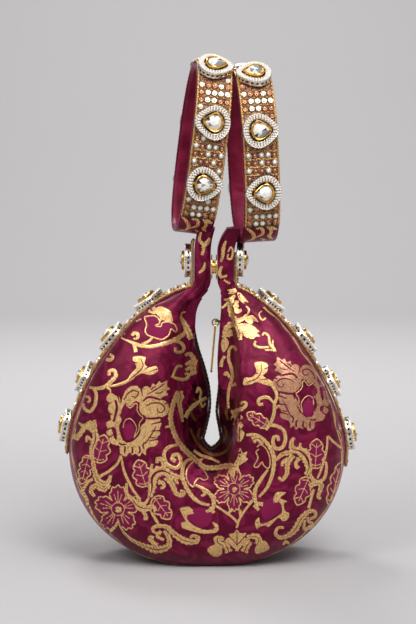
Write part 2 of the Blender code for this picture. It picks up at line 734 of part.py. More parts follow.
def make_slider(frame):
    # a channel over the chain, and a bail whose bar the ring hangs from; heights run to -x
    inner = CHAIN_HALF_WIDTH + SLIDER_GAP
    outer = inner + SLIDER_WALL
    flange = CHAIN_HEIGHT - 0.2 * MM
    roof, top = -SLIDER_GAP, -SLIDER_GAP - SLIDER_PLATE
    half = SLIDER_LENGTH / 2
    channel = [(top, -outer), (flange, -outer), (flange, -inner), (roof, -inner),
               (roof, inner), (flange, inner), (flange, outer), (top, outer)]
    slider = add_object("zip_slider", extruded(channel, -half, half), gold(), False, frame)
    bar = bar_height()
    reach, leg = BAIL_HALF_WIDTH, BAIL_LEG
    low, high = -bar - BAR_THICKNESS / 2, -bar + BAR_THICKNESS / 2
    root = top + 0.3 * MM
    bail = [(low, -reach), (root, -reach), (root, -reach + leg), (high, -reach + leg),
            (high, reach - leg), (root, reach - leg), (root, reach), (low, reach)]
    bail_piece = add_object("zip_bail", extruded(bail, -BAR_THICKNESS / 2, BAR_THICKNESS / 2), gold(), False,
                            frame)
    add_boolean(slider, bail_piece, "UNION")


def bar_height():
    # the bar's middle above the chain: the ring clears the slider's plate
    return SLIDER_GAP + SLIDER_PLATE + RING_RADIUS + RING_WIRE_RADIUS + CLEARANCE


def make_pull(frame):
    # ring on the bar, tab on the ring; returns the bar's middle and the ring's lowest wire
    bar = frame @ Vector((-bar_height(), 0, 0))
    lean = Matrix.Rotation(PULL_LEAN, 3, "Y")
    down = lean @ Vector((0, 0, -1))
    drop_to_ring = RING_RADIUS - RING_WIRE_RADIUS - BAR_THICKNESS / 2 - CLEARANCE
    ring_middle = bar + down * drop_to_ring
    bm = bmesh.new()
    rounds, wires = 18, 6
    loops = []
    for index in range(rounds):
        angle = 2 * math.pi * index / rounds
        outward = Vector((math.cos(angle), 0, math.sin(angle)))
        loop = []
        for wire in range(wires):
            turn = 2 * math.pi * wire / wires
            offset = outward * math.cos(turn) + Vector((0, 1, 0)) * math.sin(turn)
            loop.append(bm.verts.new(outward * RING_RADIUS + offset * RING_WIRE_RADIUS))
        loops.append(loop)
    for index, loop in enumerate(loops):
        after = loops[(index + 1) % rounds]
        for wire in range(wires):
            following = (wire + 1) % wires
            bm.faces.new((loop[wire], loop[following], after[following], after[wire]))
    add_object("zip_pull_ring", bm, gold(), True, Matrix.Translation(ring_middle) @ lean.to_4x4())

    wire_middle = ring_middle + down * RING_RADIUS
    hole_drop = PULL_HOLE_RADIUS - RING_WIRE_RADIUS - CLEARANCE
    head = PULL_NECK_WIDTH / 2
    bm = bmesh.new()
    outline, hole = [], []
    sides = 20
    for index in range(sides):
        angle = 2 * math.pi * index / sides
        hole.append((math.cos(angle) * PULL_HOLE_RADIUS, math.sin(angle) * PULL_HOLE_RADIUS))
        y, z = math.cos(angle) * head, math.sin(angle) * head
        if math.sin(angle) < -0.01:
            foot_half = PULL_WIDTH / 2
            y = math.cos(angle) * foot_half
            z = -(PULL_LENGTH - head - foot_half) - foot_half * abs(math.sin(angle))
        outline.append((y, z))
    half = PULL_THICKNESS / 2
    outer_loops = [[bm.verts.new((x, y, z - hole_drop)) for y, z in outline] for x in (-half, half)]
    hole_loops = [[bm.verts.new((x, y, z - hole_drop)) for y, z in hole] for x in (-half, half)]
    for index in range(sides):
        following = (index + 1) % sides
        for loops, sense in ((outer_loops, 1), (hole_loops, -1)):
            corners = (loops[0][index], loops[0][following], loops[1][following], loops[1][index])
            bm.faces.new(corners[::sense])
        for end in (0, 1):
            bm.faces.new((outer_loops[end][index], outer_loops[end][following],
                          hole_loops[end][following], hole_loops[end][index]))
    add_object("zip_pull_tab", bm, gold(), False, Matrix.Translation(wire_middle) @ lean.to_4x4())
    return bar, wire_middle


def make_turned(name, profile, place, made_of):
    # turns a closed (radius, height) outline about its own z axis
    bm = bmesh.new()
    sides = 20
    loops = []
    for radius, height in profile:
        if radius == 0:
            loops.append([bm.verts.new((0, 0, height))])
            continue
        loops.append([bm.verts.new((radius * math.cos(2 * math.pi * index / sides),
                                    radius * math.sin(2 * math.pi * index / sides), height))
                      for index in range(sides)])
    for before, after in zip(loops, loops[1:]):
        for index in range(sides):
            following = (index + 1) % sides
            if len(before) == 1:
                bm.faces.new((before[0], after[following], after[index]))
            elif len(after) == 1:
                bm.faces.new((before[index], before[following], after[0]))
            else:
                bm.faces.new((before[index], before[following], after[following], after[index]))
    return add_object(name, bm, made_of, True, place)


def make_snap():
    left_face = HORN_MIDDLE - SNAP_GAP / 2 + CLEARANCE
    right_face = HORN_MIDDLE + SNAP_GAP / 2 - CLEARANCE
    socket_top = SNAP_FLANGE + SOCKET_HUB
    bore = STUD_RADIUS + CLEARANCE
    bore_floor = socket_top - STUD_LENGTH
    facing_right = Matrix.Rotation(math.pi / 2, 4, "Y")
    facing_left = Matrix.Rotation(-math.pi / 2, 4, "Y")
    make_turned("snap_socket", [
        (0, 0), (SNAP_FLANGE_RADIUS, 0), (SNAP_FLANGE_RADIUS, SNAP_FLANGE), (SNAP_HUB_RADIUS, SNAP_FLANGE),
        (SNAP_HUB_RADIUS, socket_top), (bore, socket_top), (bore, bore_floor), (0, bore_floor)],
        Matrix.Translation((left_face, 0, SNAP_LEVEL)) @ facing_right, gold())
    stud_top = SNAP_FLANGE + STUD_HUB
    make_turned("snap_stud", [
        (0, 0), (SNAP_FLANGE_RADIUS, 0), (SNAP_FLANGE_RADIUS, SNAP_FLANGE), (SNAP_HUB_RADIUS, SNAP_FLANGE),
        (SNAP_HUB_RADIUS, stud_top), (STUD_RADIUS, stud_top), (STUD_RADIUS, stud_top + STUD_LENGTH),
        (0, stud_top + STUD_LENGTH)],
        Matrix.Translation((right_face, 0, SNAP_LEVEL)) @ facing_left, gold())


def build():
    for found in list(bpy.data.objects):
        bpy.data.objects.remove(found)
    rim, mouth, sizes = pouch_stations()
    make_pouch(rim, mouth, sizes)
    places = make_rim_trims(rim)
    for side in SIDES:
        places += make_handle(side)
    make_medallions(places)
    rest, travel = make_zip(mouth, sizes)
    frame = slider_frame(rest, travel)
    make_slider(frame)
    bar, wire = make_pull(frame)
    make_snap()
    return {"slider": rest, "travel": travel, "bar": bar, "wire": wire}


JOINT_PLACES = build()
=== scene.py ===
# Embellished clutch: brocade pouch with jewelled trims and bracelet handles, dressed over its measured frame
# Lengths are millimetres here and turn to metres when a mesh is made. +Z is up and the front faces -Y.

import math
import random

import bmesh
import bpy
import numpy as np
from mathutils import Matrix, Vector, noise
from mathutils.bvhtree import BVHTree
from mathutils.geometry import delaunay_2d_cdt


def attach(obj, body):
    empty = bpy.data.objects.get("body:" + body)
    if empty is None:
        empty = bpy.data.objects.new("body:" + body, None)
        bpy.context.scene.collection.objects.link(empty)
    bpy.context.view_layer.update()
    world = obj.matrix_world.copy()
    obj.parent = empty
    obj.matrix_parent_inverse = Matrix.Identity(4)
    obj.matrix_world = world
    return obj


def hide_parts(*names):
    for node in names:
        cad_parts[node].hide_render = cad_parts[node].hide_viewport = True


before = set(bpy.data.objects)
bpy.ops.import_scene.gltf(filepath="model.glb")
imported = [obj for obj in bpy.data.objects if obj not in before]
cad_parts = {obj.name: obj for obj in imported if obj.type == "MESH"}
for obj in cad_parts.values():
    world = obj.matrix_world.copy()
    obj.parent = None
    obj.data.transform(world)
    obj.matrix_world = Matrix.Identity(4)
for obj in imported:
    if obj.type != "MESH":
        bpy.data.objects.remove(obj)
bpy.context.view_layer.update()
mm = 0.001
sides = {"left": -1, "right": 1}


# Materials

def hexColour(text):
    # sRGB hex to linear
    parts = [int(text[start:start + 2], 16) / 255 for start in (1, 3, 5)]
    linear = [part / 12.92 if part <= 0.04045 else ((part + 0.055) / 1.055) ** 2.4 for part in parts]
    return (*linear, 1.0)


def addNode(material, kind, inputs=None, **settings):
    # one node with its settings; an input is a value, or a socket to link from
    node = material.node_tree.nodes.new("ShaderNode" + kind)
    for key, value in settings.items():
        setattr(node, key, value)
    for socket, value in (inputs or {}).items():
        if isinstance(value, bpy.types.NodeSocket):
            material.node_tree.links.new(value, node.inputs[socket])
        else:
            node.inputs[socket].default_value = value
    return node


def newMaterial(name, colour, roughness, metallic=0.0, **inputs):
    made = bpy.data.materials.new(name)
    made.use_nodes = True
    shader = made.node_tree.nodes["Principled BSDF"]
    shader.inputs["Base Color"].default_value = hexColour(colour)
    shader.inputs["Roughness"].default_value = roughness
    shader.inputs["Metallic"].default_value = metallic
    for socket, value in inputs.items():
        shader.inputs[socket.replace("_", " ")].default_value = value
    return made


def drive(material, socket, source):
    # links a node's output to the shader
    shader = material.node_tree.nodes["Principled BSDF"]
    material.node_tree.links.new(source, shader.inputs[socket])


def addBump(material, height, distance, strength=1.0):
    bump = addNode(material, "Bump", {"Height": height, "Distance": distance * mm, "Strength": strength})
    drive(material, "Normal", bump.outputs["Normal"])


def place(material):
    # the piece's own coordinates, in metres
    return addNode(material, "TexCoord").outputs["Object"]


def ramp(material, factor, stops):
    node = addNode(material, "ValToRGB", {"Fac": factor})
    points = node.color_ramp.elements
    while len(points) < len(stops):
        points.new(0.5)
    for point, (position, colour) in zip(points, stops):
        point.position = position
        point.color = hexColour(colour)
    return node.outputs["Color"]


# shade and dusk are the darker tones of the painted shade inside the mouth
silkLook = {"deep": "#4a061d", "ground": "#500723", "figure": "#5f0d2d", "glow": "#731839",
            "shade": "#160106", "dusk": "#28030e", "figureSize": 17, "yarn": 0.9}


def makeSilkBrocade(name="silkBrocade", tones=("deep", "ground", "figure", "glow")):
    # woven silk satin ground: a soft pink sheen over a clouded tone-on-tone damask figure
    made = newMaterial(name, silkLook["ground"], 0.38, Sheen_Weight=0.32, Sheen_Roughness=0.3,
                       Sheen_Tint=hexColour("#e04f80"), Specular_IOR_Level=0.7,
                       Specular_Tint=hexColour("#ec6a8e"))
    at = place(made)
    figures, yarns = 1 / (silkLook["figureSize"] * mm), 1 / (silkLook["yarn"] * mm) / 3.1
    cloud = addNode(made, "TexNoise", {"Vector": at, "Scale": figures, "Detail": 3.0, "Distortion": 2.4})
    stops = list(zip((0.36, 0.47, 0.54, 0.64), [silkLook[tone] for tone in tones]))
    drive(made, "Base Color", ramp(made, cloud.outputs["Fac"], stops))
    yarn = addNode(made, "TexWave", {"Vector": at, "Scale": yarns, "Distortion": 0.6},
                   bands_direction="DIAGONAL")    # real yarn is 0.2 mm; drawn coarser so that it shows
    addBump(made, yarn.outputs["Fac"], 0.05, 0.35)
    return made


def makeRoseSilk():
    # the lighter silk weft that fills leaves and petals, with a faint twill
    sheen = {"Specular_IOR_Level": 0.35, "Specular_Tint": hexColour("#ee7aa0")}
    made = newMaterial("roseSilk", "#741640", 0.5, **sheen)
    at = place(made)
    yarn = addNode(made, "TexWave", {"Vector": at, "Scale": 360.0, "Distortion": 1.0},
                   bands_direction="DIAGONAL")
    drive(made, "Base Color", ramp(made, yarn.outputs["Fac"], [(0.2, "#650c33"), (0.8, "#8c2450")]))
    addBump(made, yarn.outputs["Fac"], 0.06, 0.4)
    return made


def makeZariGold(name="zariGold", low="#80461f", high="#f0c684", roughness=0.36):
    # flattened metal thread in a twill: warm, half-metallic, its ribs drawn coarser than the real 0.3 mm
    made = newMaterial(name, high, roughness, 0.55)
    at = place(made)
    ribs = {"Vector": at, "Scale": 420.0, "Distortion": 1.2, "Detail Scale": 3.0}
    twill = addNode(made, "TexWave", ribs, bands_direction="DIAGONAL")
    wear = addNode(made, "TexNoise", {"Vector": at, "Scale": 1300.0, "Detail": 1.0})
    mixed = addNode(made, "Math", {0: twill.outputs["Fac"], 1: 0.25, 2: wear.outputs["Fac"]},
                    operation="MULTIPLY_ADD")
    drive(made, "Base Color", ramp(made, mixed.outputs["Value"], [(0.42, low), (0.66, high)]))
    addBump(made, mixed.outputs["Value"], 0.12, 0.6)
    return made


def makeSatin():
    # lining satin: smooth, with a long soft highlight; the fold noise also paints shade into the folds'
    # hollows and highlight on their crests
    made = newMaterial("satinLining", "#5a0a22", 0.36, Sheen_Weight=0.1, Sheen_Tint=hexColour("#c05a80"),
                       Specular_Tint=hexColour("#e08aa8"))
    at = place(made)
    foldsAndShade = addNode(made, "TexNoise", {"Vector": at, "Scale": 60.0, "Detail": 2.0})
    drive(made, "Base Color", ramp(made, foldsAndShade.outputs["Fac"], [(0.3, "#5c0b1f"), (0.7, "#932745")]))
    addBump(made, foldsAndShade.outputs["Fac"], 0.5, 0.3)
    return made


def makeMetal(name, colour, roughness, darker):
    # plated casting: bright, a little uneven
    made = newMaterial(name, colour, roughness, 1.0)
    at = place(made)
    grain = addNode(made, "TexNoise", {"Vector": at, "Scale": 700.0, "Detail": 2.0})
    drive(made, "Base Color", ramp(made, grain.outputs["Fac"], [(0.3, darker), (0.6, colour)]))
    addBump(made, grain.outputs["Fac"], 0.03, 0.5)
    return made


def makeNet():
    # the trim's ground: maroon net under gold zigzag thread
    made = newMaterial("trimNet", "#6a1a35", 0.6)
    at = place(made)
    mesh = addNode(made, "TexVoronoi", {"Vector": at, "Scale": 620.0}, feature="DISTANCE_TO_EDGE")
    drive(made, "Base Color", ramp(made, mesh.outputs["Distance"], [(0.03, "#c39a5c"), (0.09, "#5c1430")]))
    addBump(made, mesh.outputs["Distance"], 0.1, 0.5)
    return made


silkBrocade = makeSilkBrocade()
shadedSilk = makeSilkBrocade("shadedSilk", ("shade", "shade", "dusk", "deep"))    # inside the mouth: painted shade, the same silk drawn darker
roseSilk = makeRoseSilk()
zariGold = makeZariGold()
roseGold = makeZariGold("roseGold", "#74392c", "#cf9a76")    # the same thread where the weft shows through
shadowedGold = makeZariGold("shadowedGold", "#241006", "#7d4f24", 0.45)    # and drawn darker with painted shade in the hollow round the slit
gimpCord = makeZariGold("gimpCord", "#7d5128", "#d6ac6c", 0.34)
satinLining = makeSatin()
trimNet = makeNet()
goldPlate = makeMetal("goldPlate", "#e6b765", 0.22, "#c4903f")
copperGold = makeMetal("copperGold", "#c48f68", 0.3, "#8e5a3c")
silverPlate = makeMetal("silverPlate", "#efe9dc", 0.26, "#cdc4b2")
# dark metal for the end beads, and painted shade in the gap round each cupped stone
darkMetalAndGapShade = makeMetal("darkMetalAndGapShade", "#6b5a3c", 0.3, "#33291a")
shadowedBrass = makeMetal("shadowedBrass", "#4c371b", 0.4, "#2b1d0d")    # teeth: brass drawn dark as painted shadow
agedBrass = makeMetal("agedBrass", "#8f6c38", 0.34, "#54391b")
haloGapShade = newMaterial("haloGapShade", "#9c8272", 0.45, 0.5)    # painted shade in the halo's gaps: a warm dark plate behind its small stones
slotShade = newMaterial("slotShade", "#2a1a18", 0.7)    # painted shade: a dark sheet for the hollow seen through the gallery
# cut glass, its facets in three tones: painted reflections, bright, grey and dark
crystalGloss = {"IOR": 1.54, "Coat_Weight": 1.0, "Coat_Roughness": 0.03}
cutCrystal = newMaterial("cutCrystal", "#eeeae2", 0.06, **crystalGloss)
crystalGreyReflection = newMaterial("crystalGreyReflection", "#8b8f97", 0.05, **crystalGloss)
crystalDarkReflection = newMaterial("crystalDarkReflection", "#2e2a2a", 0.05, **crystalGloss)
champagneStone = newMaterial("champagneStone", "#c98f7c", 0.08, IOR=1.54, Coat_Weight=1.0)    # rosy glass
zipTape = newMaterial("zipTapeCloth", "#2a0a12", 0.8)    # twill tape, nearly black
print("materials made")


# Mesh helpers

class Parts:
    # gathers vertices, faces and their materials until a piece is made from them
    def __init__(self):
        self.verts, self.faces, self.kinds, self.count = [], [], [], 0

    def add(self, verts, faces, kind=0):
        verts = np.asarray(verts, float).reshape(-1, 3)
        self.verts.append(verts)
        self.faces += [tuple(corner + self.count for corner in face) for face in faces]
        self.kinds += [kind] * len(faces)
        self.count += len(verts)


def makeMesh(name, parts, materials, smooth=40):
    mesh = bpy.data.meshes.new(name)
    mesh.from_pydata((np.concatenate(parts.verts) * mm).tolist(), [], parts.faces)
    for made in materials:
        mesh.materials.append(made)
    mesh.polygons.foreach_set("material_index", parts.kinds)
    bm = bmesh.new()
    bm.from_mesh(mesh)
    bmesh.ops.recalc_face_normals(bm, faces=bm.faces)
    bm.to_mesh(mesh)
    bm.free()
    mesh.shade_smooth()
    mesh.set_sharp_from_angle(angle=math.radians(smooth))
    return mesh


def addPiece(name, mesh, body, replaced=(), matrix=None):
    piece = bpy.data.objects.new(name, mesh)
    bpy.context.collection.objects.link(piece)
    if matrix is not None:
        piece.matrix_world = matrix
    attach(piece, body)
    if replaced:
        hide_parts(*replaced)
    return piece


def loft(loops, around=True, ring=False):
    # faces between successive loops of equal length
    count = len(loops[0])
    faces = []
    for row in range(len(loops) if ring else len(loops) - 1):
        start, after = row * count, (row + 1) % len(loops) * count
        for index in range(count if around else count - 1):
            following = (index + 1) % count
            faces.append((start + index, start + following, after + following, after + index))
    return np.concatenate(loops), faces


def smoothThrough(knots, steps=10):
    # a Catmull-Rom curve through the knots
    knots = np.reshape(np.asarray(knots, float), (-1, 2))
    padded = np.vstack([2 * knots[0] - knots[1], knots, 2 * knots[-1] - knots[-2]])
    shares = np.linspace(0, 1, steps, endpoint=False)[:, None]
    spans = []
    for index in range(len(knots) - 1):
        before, start, end, after = padded[index:index + 4]
        spans.append(0.5 * (2 * start + (end - before) * shares
                            + (2 * before - 5 * start + 4 * end - after) * shares ** 2
                            + (3 * start - before - 3 * end + after) * shares ** 3))
    return np.vstack(spans + [knots[-1:]])


class Line:
    # a polyline that gives its points by distance along it
    def __init__(self, points):
        self.points = np.asarray(points, float)
        steps = np.linalg.norm(np.diff(self.points, axis=0), axis=1)
        self.reached = np.concatenate([[0], np.cumsum(steps)])
        self.length = self.reached[-1]

    def at(self, distance):
        return np.array([np.interp(distance, self.reached, column) for column in self.points.T]).T

    def near(self, point):
        return self.reached[np.argmin(np.linalg.norm(self.points - np.asarray(point), axis=1))]


# The pouch: a stuffed crescent, lofted from its rim to the mouth that carries the zip

pouchShape = {
    "bellyHalfWidth": 98, "bellyLevel": 83, "shoulderLevel": 194, "lowerFullness": 2.2, "upperFullness": 1.45,
    "soleCut": 5, "hornMiddle": 5, "hornReach": 14, "hornRise": 42, "tipLean": {"left": 3, "right": 7},
    "leanStart": 3, "leanPower": 1.8, "cornerSoftening": 3, "bellyHalfDepth": 47, "hornHalfDepth": 14.5,
    "rimHalfWidth": 13.5, "hornFace": 10.5, "mouthFace": 6.5, "lipShare": 0.70,
    "lip": {"horn": 2, "shoulder": 4, "left": 24, "bottom": 14, "right": 13},
    "zipShift": 7, "zipShiftAtHorn": 3.5, "slitBottom": 79.7, "slitBottomShift": -2, "waistShare": 0.27,
    "slit": ((0.985, 2.6, 2.4), (0.875, 12.8, 5.6), (0.75, 13.4, 6.0), (0.62, 10.6, 4.8), (0.49, 6.0, 3.6),
             (0.36, 2.6, 2.4), (0.23, 2.0, 0.9), (0.11, 4.8, 3.0), (0.035, 6.4, 3.3)),
    "snapLevel": 208, "snapFlange": 9, "snapMargin": 1, "snapGap": 2 * 0.8 + 1.5 + 0.7 + 3 * 0.3,
    "zipStack": 0.6 + 1.2 + 2 * 0.3, "stationsPerSpan": (6, 12, 8, 8, 12, 6), "hornFacePoints": 6,
}
handleShape = {
    "height": 119, "depth": 72, "fullness": 2.4, "bandWidth": 25, "bandThickness": 3.0, "clearance": 0.3,
    "left": {"foot": (-11.5, 0, 232), "lean": math.radians(7.2), "turn": math.radians(8)},
    "right": {"foot": (35, 0, 226), "lean": math.radians(-2.8), "turn": math.radians(8)},
}
# lip bulges: first and last station, height; shares run from the rim (0) to the mouth (1)
shellLook = {"stationsTimes": 6, "facePoints": 60, "swell": 6.5, "swellShare": 0.45, "rimShift": 3.0,
             "rimShiftShare": 0.7, "lipBulges": ((6.5, 12.5, 5.0), (32.5, 45.8, 8.0)), "lipStart": 0.85,
             "shadedShare": 0.22, "shadedStations": (13, 38), "shadedEase": (5, 4)}
foldLook = {"soft": 1.0, "softSpan": 27, "crumple": 0.28, "crumpleSpan": 8, "gather": 1.5, "gathers": 8.5,
            "gatherRoot": (9, 192), "gatherStart": 14, "gatherFade": {-1: 46, 1: 26}, "lipPucker": 0.4,
            "puckerShare": 0.72, "puckerWaves": 0.55, "edgeRows": 7}


def tipLean(level, side):
    start = pouchShape["snapLevel"] + pouchShape["snapFlange"] + pouchShape["leanStart"]
    tip = pouchShape["shoulderLevel"] + pouchShape["hornRise"]
    share = min(max((level - start) / (tip - start), 0), 1)
    return pouchShape["tipLean"][side] * share ** pouchShape["leanPower"]


def superellipse(share, exponent):
    angle = share * math.pi / 2
    return max(math.cos(angle), 0) ** (2 / exponent), max(math.sin(angle), 0) ** (2 / exponent)


def outerHalf(side):
    # the outer outline from the horn's tip down to the middle of the underside, as (x, z)
    shape, sign = pouchShape, sides[side]
    horn = shape["hornMiddle"] + sign * shape["hornReach"]
    tip = shape["shoulderLevel"] + shape["hornRise"]
    points = [(horn + tipLean(level, side), level)
              for level in np.linspace(tip, shape["shoulderLevel"], 24, endpoint=False)]
    for share in np.linspace(1, 0, 60, endpoint=False):
        across, up = superellipse(share, shape["upperFullness"])
        points.append((horn + (sign * shape["bellyHalfWidth"] - horn) * across,
                       shape["bellyLevel"] + (shape["shoulderLevel"] - shape["bellyLevel"]) * up))
    for share in np.linspace(0, 1, 60):
        across, down = superellipse(share, shape["lowerFullness"])
        points.append((sign * shape["bellyHalfWidth"] * across,
                       shape["bellyLevel"] - (shape["bellyLevel"] + shape["soleCut"]) * down))
    return points


def outerLine():
    rough = Line(outerHalf("left") + outerHalf("right")[::-1][1:])
    points = rough.at(np.linspace(0, rough.length, int(rough.length / 2)))
    for _ in range(pouchShape["cornerSoftening"]):
        points[1:-1] = (points[:-2] + 2 * points[1:-1] + points[2:]) / 4
    return Line(points)


def innerHalf(side):
    # the mouth line from the horn's tip down to the slit's bottom, as (x, z)
    shape, sign = pouchShape, sides[side]
    face = shape["hornMiddle"] + sign * shape["snapGap"] / 2
    highest = shape["snapLevel"] - shape["snapFlange"] - shape["snapMargin"]
    tops = np.linspace(shape["shoulderLevel"] + shape["hornRise"], highest, shape["hornFacePoints"])
    points = [(face + tipLean(level, side), level) for level in tops]
    for share, left, right in shape["slit"]:
        reach = (left if side == "left" else right) + shape["zipStack"]
        points.append((shape["hornMiddle"] + sign * reach,
                       shape["slitBottom"] + share * (shape["shoulderLevel"] - shape["slitBottom"])))
    return points


def innerLine():
    bottom = [(pouchShape["hornMiddle"] + pouchShape["slitBottomShift"],
               pouchShape["slitBottom"] - pouchShape["zipStack"])]
    return Line(smoothThrough(innerHalf("left") + bottom + innerHalf("right")[::-1]))


def spread(knots, times=1):
    values = [np.linspace(start, end, count * times, endpoint=False)
              for start, end, count in zip(knots, knots[1:], pouchShape["stationsPerSpan"])]
    return np.concatenate(values + [knots[-1:]])


def betweenKnots(values, quickness=1.0, times=1):
    # eases from knot to knot: tip, shoulder, widest point, bottom and back up
    spot = spread(list(range(len(values))), times)
    index = np.minimum(spot.astype(int), len(values) - 2)
    share = spot - index
    if quickness != 1.0:
        share = np.where(index < 2, share ** quickness, 1 - (1 - share) ** quickness)
    share = share * share * (3 - 2 * share)
    values = np.asarray(values, float)
    return values[index] * (1 - share) + values[index + 1] * share


def pouchStations(times=1):
    # matched points of rim and mouth, and each section's sizes
    shape = pouchShape
    outer, inner = outerLine(), innerLine()
    low = (shape["hornMiddle"] + shape["slitBottomShift"], shape["slitBottom"] - shape["zipStack"])
    rimKnots, mouthKnots = [0], [0]
    for side, sign in sides.items():
        level = shape["slitBottom"] + shape["waistShare"] * (shape["shoulderLevel"] - shape["slitBottom"])
        corner = (shape["hornMiddle"] + sign * shape["hornReach"], shape["shoulderLevel"])
        top = innerHalf(side)[shape["hornFacePoints"]]
        pinch = (shape["hornMiddle"] + sign * shape["zipStack"], level)
        pair = [(outer.near(corner), inner.near(top)),
                (outer.near((sign * shape["bellyHalfWidth"], shape["bellyLevel"])), inner.near(pinch))]
        if side == "right":
            pair.reverse()
            rimKnots.append(outer.near((0, -shape["soleCut"])))
            mouthKnots.append(inner.near(low))
        rimKnots += [distances[0] for distances in pair]
        mouthKnots += [distances[1] for distances in pair]
    rimKnots.append(outer.length)
    mouthKnots.append(inner.length)
    lips, horn, belly = shape["lip"], shape["hornHalfDepth"], shape["bellyHalfDepth"]
    sizes = {
        "depth": betweenKnots([horn, horn, belly, belly, belly, horn, horn], 0.7, times),
        "face": betweenKnots([shape["hornFace"]] * 2 + [shape["mouthFace"]] * 3 + [shape["hornFace"]] * 2,
                             1, times),
        "lip": betweenKnots([lips["horn"], lips["shoulder"], lips["left"], lips["bottom"], lips["right"],
                             lips["shoulder"], lips["horn"]], 1, times),
        "shift": betweenKnots([0, 0, shape["zipShift"], 0, -shape["zipShift"], -shape["zipShiftAtHorn"], 0],
                              1, times),
    }
    return outer.at(spread(rimKnots, times)), inner.at(spread(mouthKnots, times)), sizes


def shoulderSwell(times):
    # how much each station swells: the left shoulder only, between horn and widest point
    stations = np.arange(sum(pouchShape["stationsPerSpan"]) * times + 1) / times
    share = np.clip((stations - 6) / 12, 0, 1)
    return np.sin(np.pi * share ** 0.75)


def section(width, depth, face, lip, shift, count):
    # a closed loop round the stuffed tube: (distance in from the rim, y)
    rimHalf = pouchShape["rimHalfWidth"]
    lipDepth = face + pouchShape["lipShare"] * (depth - face)
    fall = depth - rimHalf
    apex = max(0.5 * (width - lip), 0.42 * width)
    turn = max(width - 1.45 * lip, 0.5 * (apex + width - lip))
    knots = [(0, rimHalf), (0.05 * width, rimHalf + 0.50 * fall), (0.17 * width, rimHalf + 0.82 * fall),
             (0.33 * width, rimHalf + 0.97 * fall), (apex, depth), (turn, depth - 0.22 * (depth - lipDepth)),
             (width - lip, lipDepth), (width - 0.80 * lip, face + 0.66 * (lipDepth - face)),
             (width - 0.40 * lip, face + 0.28 * (lipDepth - face)), (width, face)]
    curve = Line(smoothThrough(knots, 12))
    half = curve.at(np.linspace(0, curve.length, count))
    sway = shift * (half[:, 0] / width) ** 4
    front = np.stack([half[:, 0], sway - half[:, 1]], axis=1)
    back = np.stack([half[:, 0], sway + half[:, 1]], axis=1)[::-1]
    mouthShares = np.linspace(0, 1, 7)[1:-1, None]
    rimShares = np.linspace(0, 1, 9)[1:-1, None]
    return np.vstack([front, front[-1] + (back[0] - front[-1]) * mouthShares, back,
                      back[-1] + (front[0] - back[-1]) * rimShares])


def handleMatrix(side):
    sizes = handleShape[side]
    turn = Matrix.Rotation(sizes["turn"], 4, "Z") @ Matrix.Rotation(sizes["lean"], 4, "Y")
    return Matrix.Translation(sizes["foot"]) @ turn


def sinkUnderHandles(grid):
    # horn tips stop under the bracelets' feet
    reach = handleShape["bandWidth"] / 2 + handleShape["clearance"]
    halfDepth, halfHeight = handleShape["depth"] / 2, handleShape["height"] / 2
    for side in sides:
        matrix = np.array(handleMatrix(side))
        inverse = np.linalg.inv(matrix)
        flat = grid.reshape(-1, 3)
        local = flat @ inverse[:3, :3].T + inverse[:3, 3]
        share = np.clip(np.abs(local[:, 1]) / (halfDepth + 0.3), 0, 1)
        arch = (1 - share ** handleShape["fullness"]) ** (1 / handleShape["fullness"])
        floor = halfHeight - (halfHeight + 0.5) * arch
        picked = (np.abs(local[:, 0]) < reach + 0.5) & (local[:, 2] > floor) & (local[:, 2] < 20)
        local[picked, 2] = floor[picked]
        grid = (local @ matrix[:3, :3].T + matrix[:3, 3]).reshape(grid.shape)
    return grid


def gridNormals(grid):
    along = np.gradient(grid, axis=0)
    around = np.roll(grid, -1, axis=1) - np.roll(grid, 1, axis=1)
    normals = np.cross(along, around)
    normals /= np.maximum(np.linalg.norm(normals, axis=2, keepdims=True), 1e-9)
    return normals


def foldHeights(grid, count):
    # gathers that fan out under the horns, soft hollows of the wadding, and puckers along the lip
    look = foldLook
    middle, lipRow = pouchShape["hornMiddle"], int(count * look["puckerShare"])
    heights = np.zeros(grid.shape[:2])
    rows = np.arange(grid.shape[1])
    fromEdge = np.minimum(rows % (count + 5), np.abs(count - 1 - rows % (count + 5)))
    ease = np.clip(fromEdge / look["edgeRows"], 0, 1) * (rows < 2 * count + 5)
    for station in range(grid.shape[0]):
        for row in np.flatnonzero(ease):
            x, y, z = grid[station, row]
            spot = Vector((x, y, z))
            height = (look["soft"] * noise.noise(spot / look["softSpan"])
                      + look["crumple"] * noise.noise(spot / look["crumpleSpan"]))
            side = -1 if x < middle else 1
            reachX, reachZ = x - (middle + side * look["gatherRoot"][0]), look["gatherRoot"][1] - z
            distance = math.hypot(reachX, reachZ)
            angle = math.atan2(side * reachX, reachZ + 6)
            wobble = 1.3 * noise.noise(spot / 30 + Vector((7, 3, 0)))
            if reachZ > -4:
                fade = math.exp(-distance / look["gatherFade"][side]) * min(distance / look["gatherStart"], 1)
                wave = look["gathers"] * angle + wobble * 3 + (0.6 if side < 0 else 0)
                height += look["gather"] * fade * math.sin(wave)
            away = abs(row % (count + 5) - lipRow) / 5
            if away < 3:
                crease = math.sin(station * look["puckerWaves"] + 3 * noise.noise(spot / 15))
                height += look["lipPucker"] * math.exp(-away * away) * crease
            heights[station, row] = height * ease[row]
    return heights


